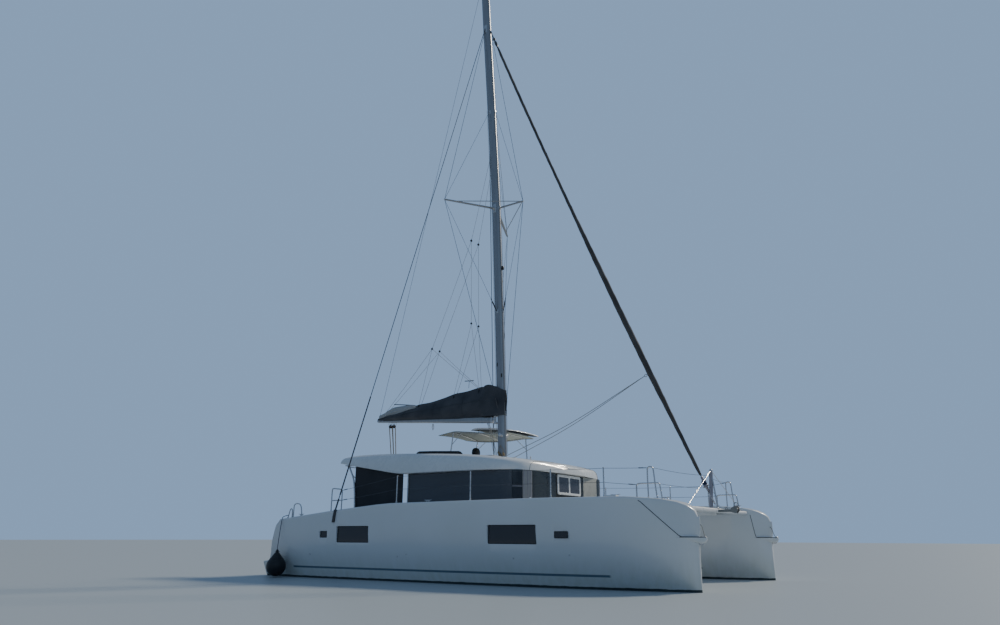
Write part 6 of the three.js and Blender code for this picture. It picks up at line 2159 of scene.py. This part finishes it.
def cleat(x, y, z, degrees):
    horn = [(x - 0.11, y, z + 0.052), (x - 0.06, y, z + 0.042), (x, y, z + 0.04), (x + 0.06, y, z + 0.042),
            (x + 0.11, y, z + 0.052)]
    parts = [pole((x + s * 0.03, y, z - 0.002), (x + s * 0.035, y, z + 0.035), 0.009, sides=10) for s in (-1, 1)]
    parts += [pipe(smoothPath(horn, 3), 0.01, 8,
                   radii=[0.004, 0.007, 0.009] + [0.011] * 7 + [0.009, 0.007, 0.004]),
              block((x - 0.055, y - 0.02, z - 0.002), (x + 0.055, y + 0.02, z + 0.004), 0.002, 1)]
    obj = joined(parts)
    obj.matrix_world = (Matrix.Translation((x, y, z)) @ Matrix.Rotation(math.radians(degrees), 4, "Z")
                        @ Matrix.Translation((-x, -y, -z)))
    return settle(obj)


def flushHatch(x, y, z, halfX, halfY):
    round = gearLook["hatchRound"]

    def inner(edge, low, high):  # the opening within the frame's edge
        return slab(x - halfX + edge, x + halfX - edge, y - halfY + edge, y + halfY - edge, low, high,
                    round * 0.7)

    rim = slab(x - halfX, x + halfX, y - halfY, y + halfY, z - 0.004, z + 0.022, round)
    cutAway(rim, [inner(0.03, z - 0.1, z + 0.1)])
    return softenEdges(rim, 0.004, 2), softenEdges(inner(0.031, z - 0.002, z + 0.018), 0.003, 2)


def hatchSet(places, levelAt):  # joined frames and joined panes
    rims, panes = zip(*(flushHatch(x, y, levelAt(x, y), halfX, halfY) for x, y, halfX, halfY in places))
    return joined(rims), joined(panes)


def makeDeckGear():
    look = gearLook
    cleats = [cleat(x, y, 0.38 if x < -5.9 else sideDeck(x) + 0.004, degrees)
              for x, y, degrees in look["cleats"]]
    pair(joined(cleats), "deckCleats", stainless, "stainless")
    rims, panes = hatchSet(look["hatches"], lambda x, y: sideDeck(x))
    pair(rims, "deckHatchFrames", spar, "alloy", 30)
    pair(panes, "deckHatchPanes", darkGlass, "glazing", 30)
    treads = []
    for x0, x1, y0, y1 in look["pads"]:
        level = max(sideDeck(x0), sideDeck(x1)) + 0.004
        pad = slab(x0, x1, y0, y1, level - 0.02, level + 0.003, 0.07)
        for vertex in pad.data.vertices:
            vertex.co.z += sheer(vertex.co.x) - level
        treads.append(pad)
    for x0, x1, z in hullLook["steps"]:
        treads.append(slab(max(x0, -6.36) + 0.04, min(x1, -4.85) - 0.04, 2.54, 3.37, z - 0.004, z + 0.003, 0.03))
    pair(joined(treads), "treadPads", nonSkid, "gelcoat", 30)
    z = sideDeck(4.56)
    fitting = [softenEdges(block((4.42, 3.42, z), (4.7, 3.58, z + 0.035)), 0.01, 3),
               ball((2.21, 3.0, 1.96), 0.03, (1, 1, 0.8)), pole((2.21, 3.0, 1.9), (2.21, 3.0, 1.95), 0.02)]
    pair(joined(fitting), "deckFittings", gelcoat, "gelcoat", 40)


def makeRoofGear():
    look = gearLook
    rims, panes = hatchSet(look["roofHatches"], lambda x, y: roofSkin(x, y) + 0.002)
    piece(rims, "roofHatchFrames", spar, slot="alloy", smooth=30)
    piece(panes, "roofHatchPanes", darkGlass, slot="glazing", smooth=30)
    drum = [(0.075, 0), (0.078, 0.01), (0.062, 0.03), (0.052, 0.07), (0.06, 0.11), (0.07, 0.13), (0.066, 0.142),
            (0.03, 0.15)]
    winches = [turnedShape(drum, (x, y, roofSkin(x, y) - 0.01), steps=32) for x, y in look["winches"]]
    piece(joined(winches), "helmWinches", stainless, slot="stainless", smooth=40)
    z = roofSkin(-1.7, 0.9)
    clutches, lines = [], []
    for k in range(8):
        y = 0.6 + 0.075 * k
        clutches.append(block((-1.75, y, z - 0.02), (-1.55, y + 0.055, z + 0.05), 0.012, 3))
        y += 0.027
        line = [(-1.9, y, roofSkin(-1.9, y) + 0.02), (-1.5, y, roofSkin(-1.5, y) + 0.02),
                (-1.0, 0.25 + 0.05 * k, roofSkin(-1, 0.4) + 0.025),
                (-0.62, 0.1 + 0.02 * k, roofSkin(-0.6, 0.1) + 0.03)]
        lines.append(pipe(smoothPath(line, 4), 0.0055, 6))
    piece(joined(clutches), "ropeClutches", blackPlastic, slot="black_plastic", smooth=40)
    piece(joined(lines), "roofLines", greyRope, slot="rope", smooth=60)
    (x, top), z = look["ventPost"], roofSkin(look["ventPost"][0], 0)
    post = [pole((x, 0, z - 0.02), (x, 0, top), 0.02, sides=20), ball((x, 0, top), 0.021, (1, 1, 0.6)),
            pole((x, 0, z - 0.01), (x, 0, z + 0.012), 0.04, sides=24)]
    piece(joined(post), "roofVentPost", sparWhite, slot="alloy", smooth=40)
    ring = roofRing(roofLook["seamX"])
    seam = pipe([p + Vector((0, 0.001, 0.001)) for p in ring[3:len(ring) // 2 - 2]], 0.0045, 6)
    pair(seam, "roofSeam", seamBlack, "gelcoat", 50)


def makeBowGear():  # towing eyes under the beaks with their rope loops, and the outlets in the topsides
    centre = hullLook["centre"]
    eye = [(6.3, 1.08), (6.36, 1.09), (6.383, 1.05), (6.365, 0.99), (6.3, 0.955)]
    eyes = [pipe(smoothPath([(x, centre, z) for x, z in eye], 4), 0.014, 10),
            block((6.2, centre - 0.02, 0.93), (6.34, centre + 0.02, 0.97), 0.01, 2)]
    pair(joined(eyes), "bowEyes", stainless, "stainless")
    loop = [(6.22, 2.82, 1.36), (6.27, 2.8, 1.3), (6.3, 2.81, 1.19), (6.33, 2.84, 1.11), (6.36, 2.87, 1.1)]
    pair(pipe(smoothPath(loop, 4), 0.008, 8), "bowRopeLoops", greyRope, "rope", 60)
    outlets = []
    for x, z, radius in gearLook["outlets"]:
        rim = [(radius, -0.003), (radius, 0.004), (radius * 0.75, 0.006), (radius * 0.6, -0.002)]
        outlets.append(turnedShape(rim, (x, centre + hullHalf(x, z), z), (0, 1, 0.08), 18))
    pair(joined(outlets), "skinFittings", stainless, "stainless")


makeDeckGear()
makeRoofGear()
makeBowGear()
print("deck gear placed")
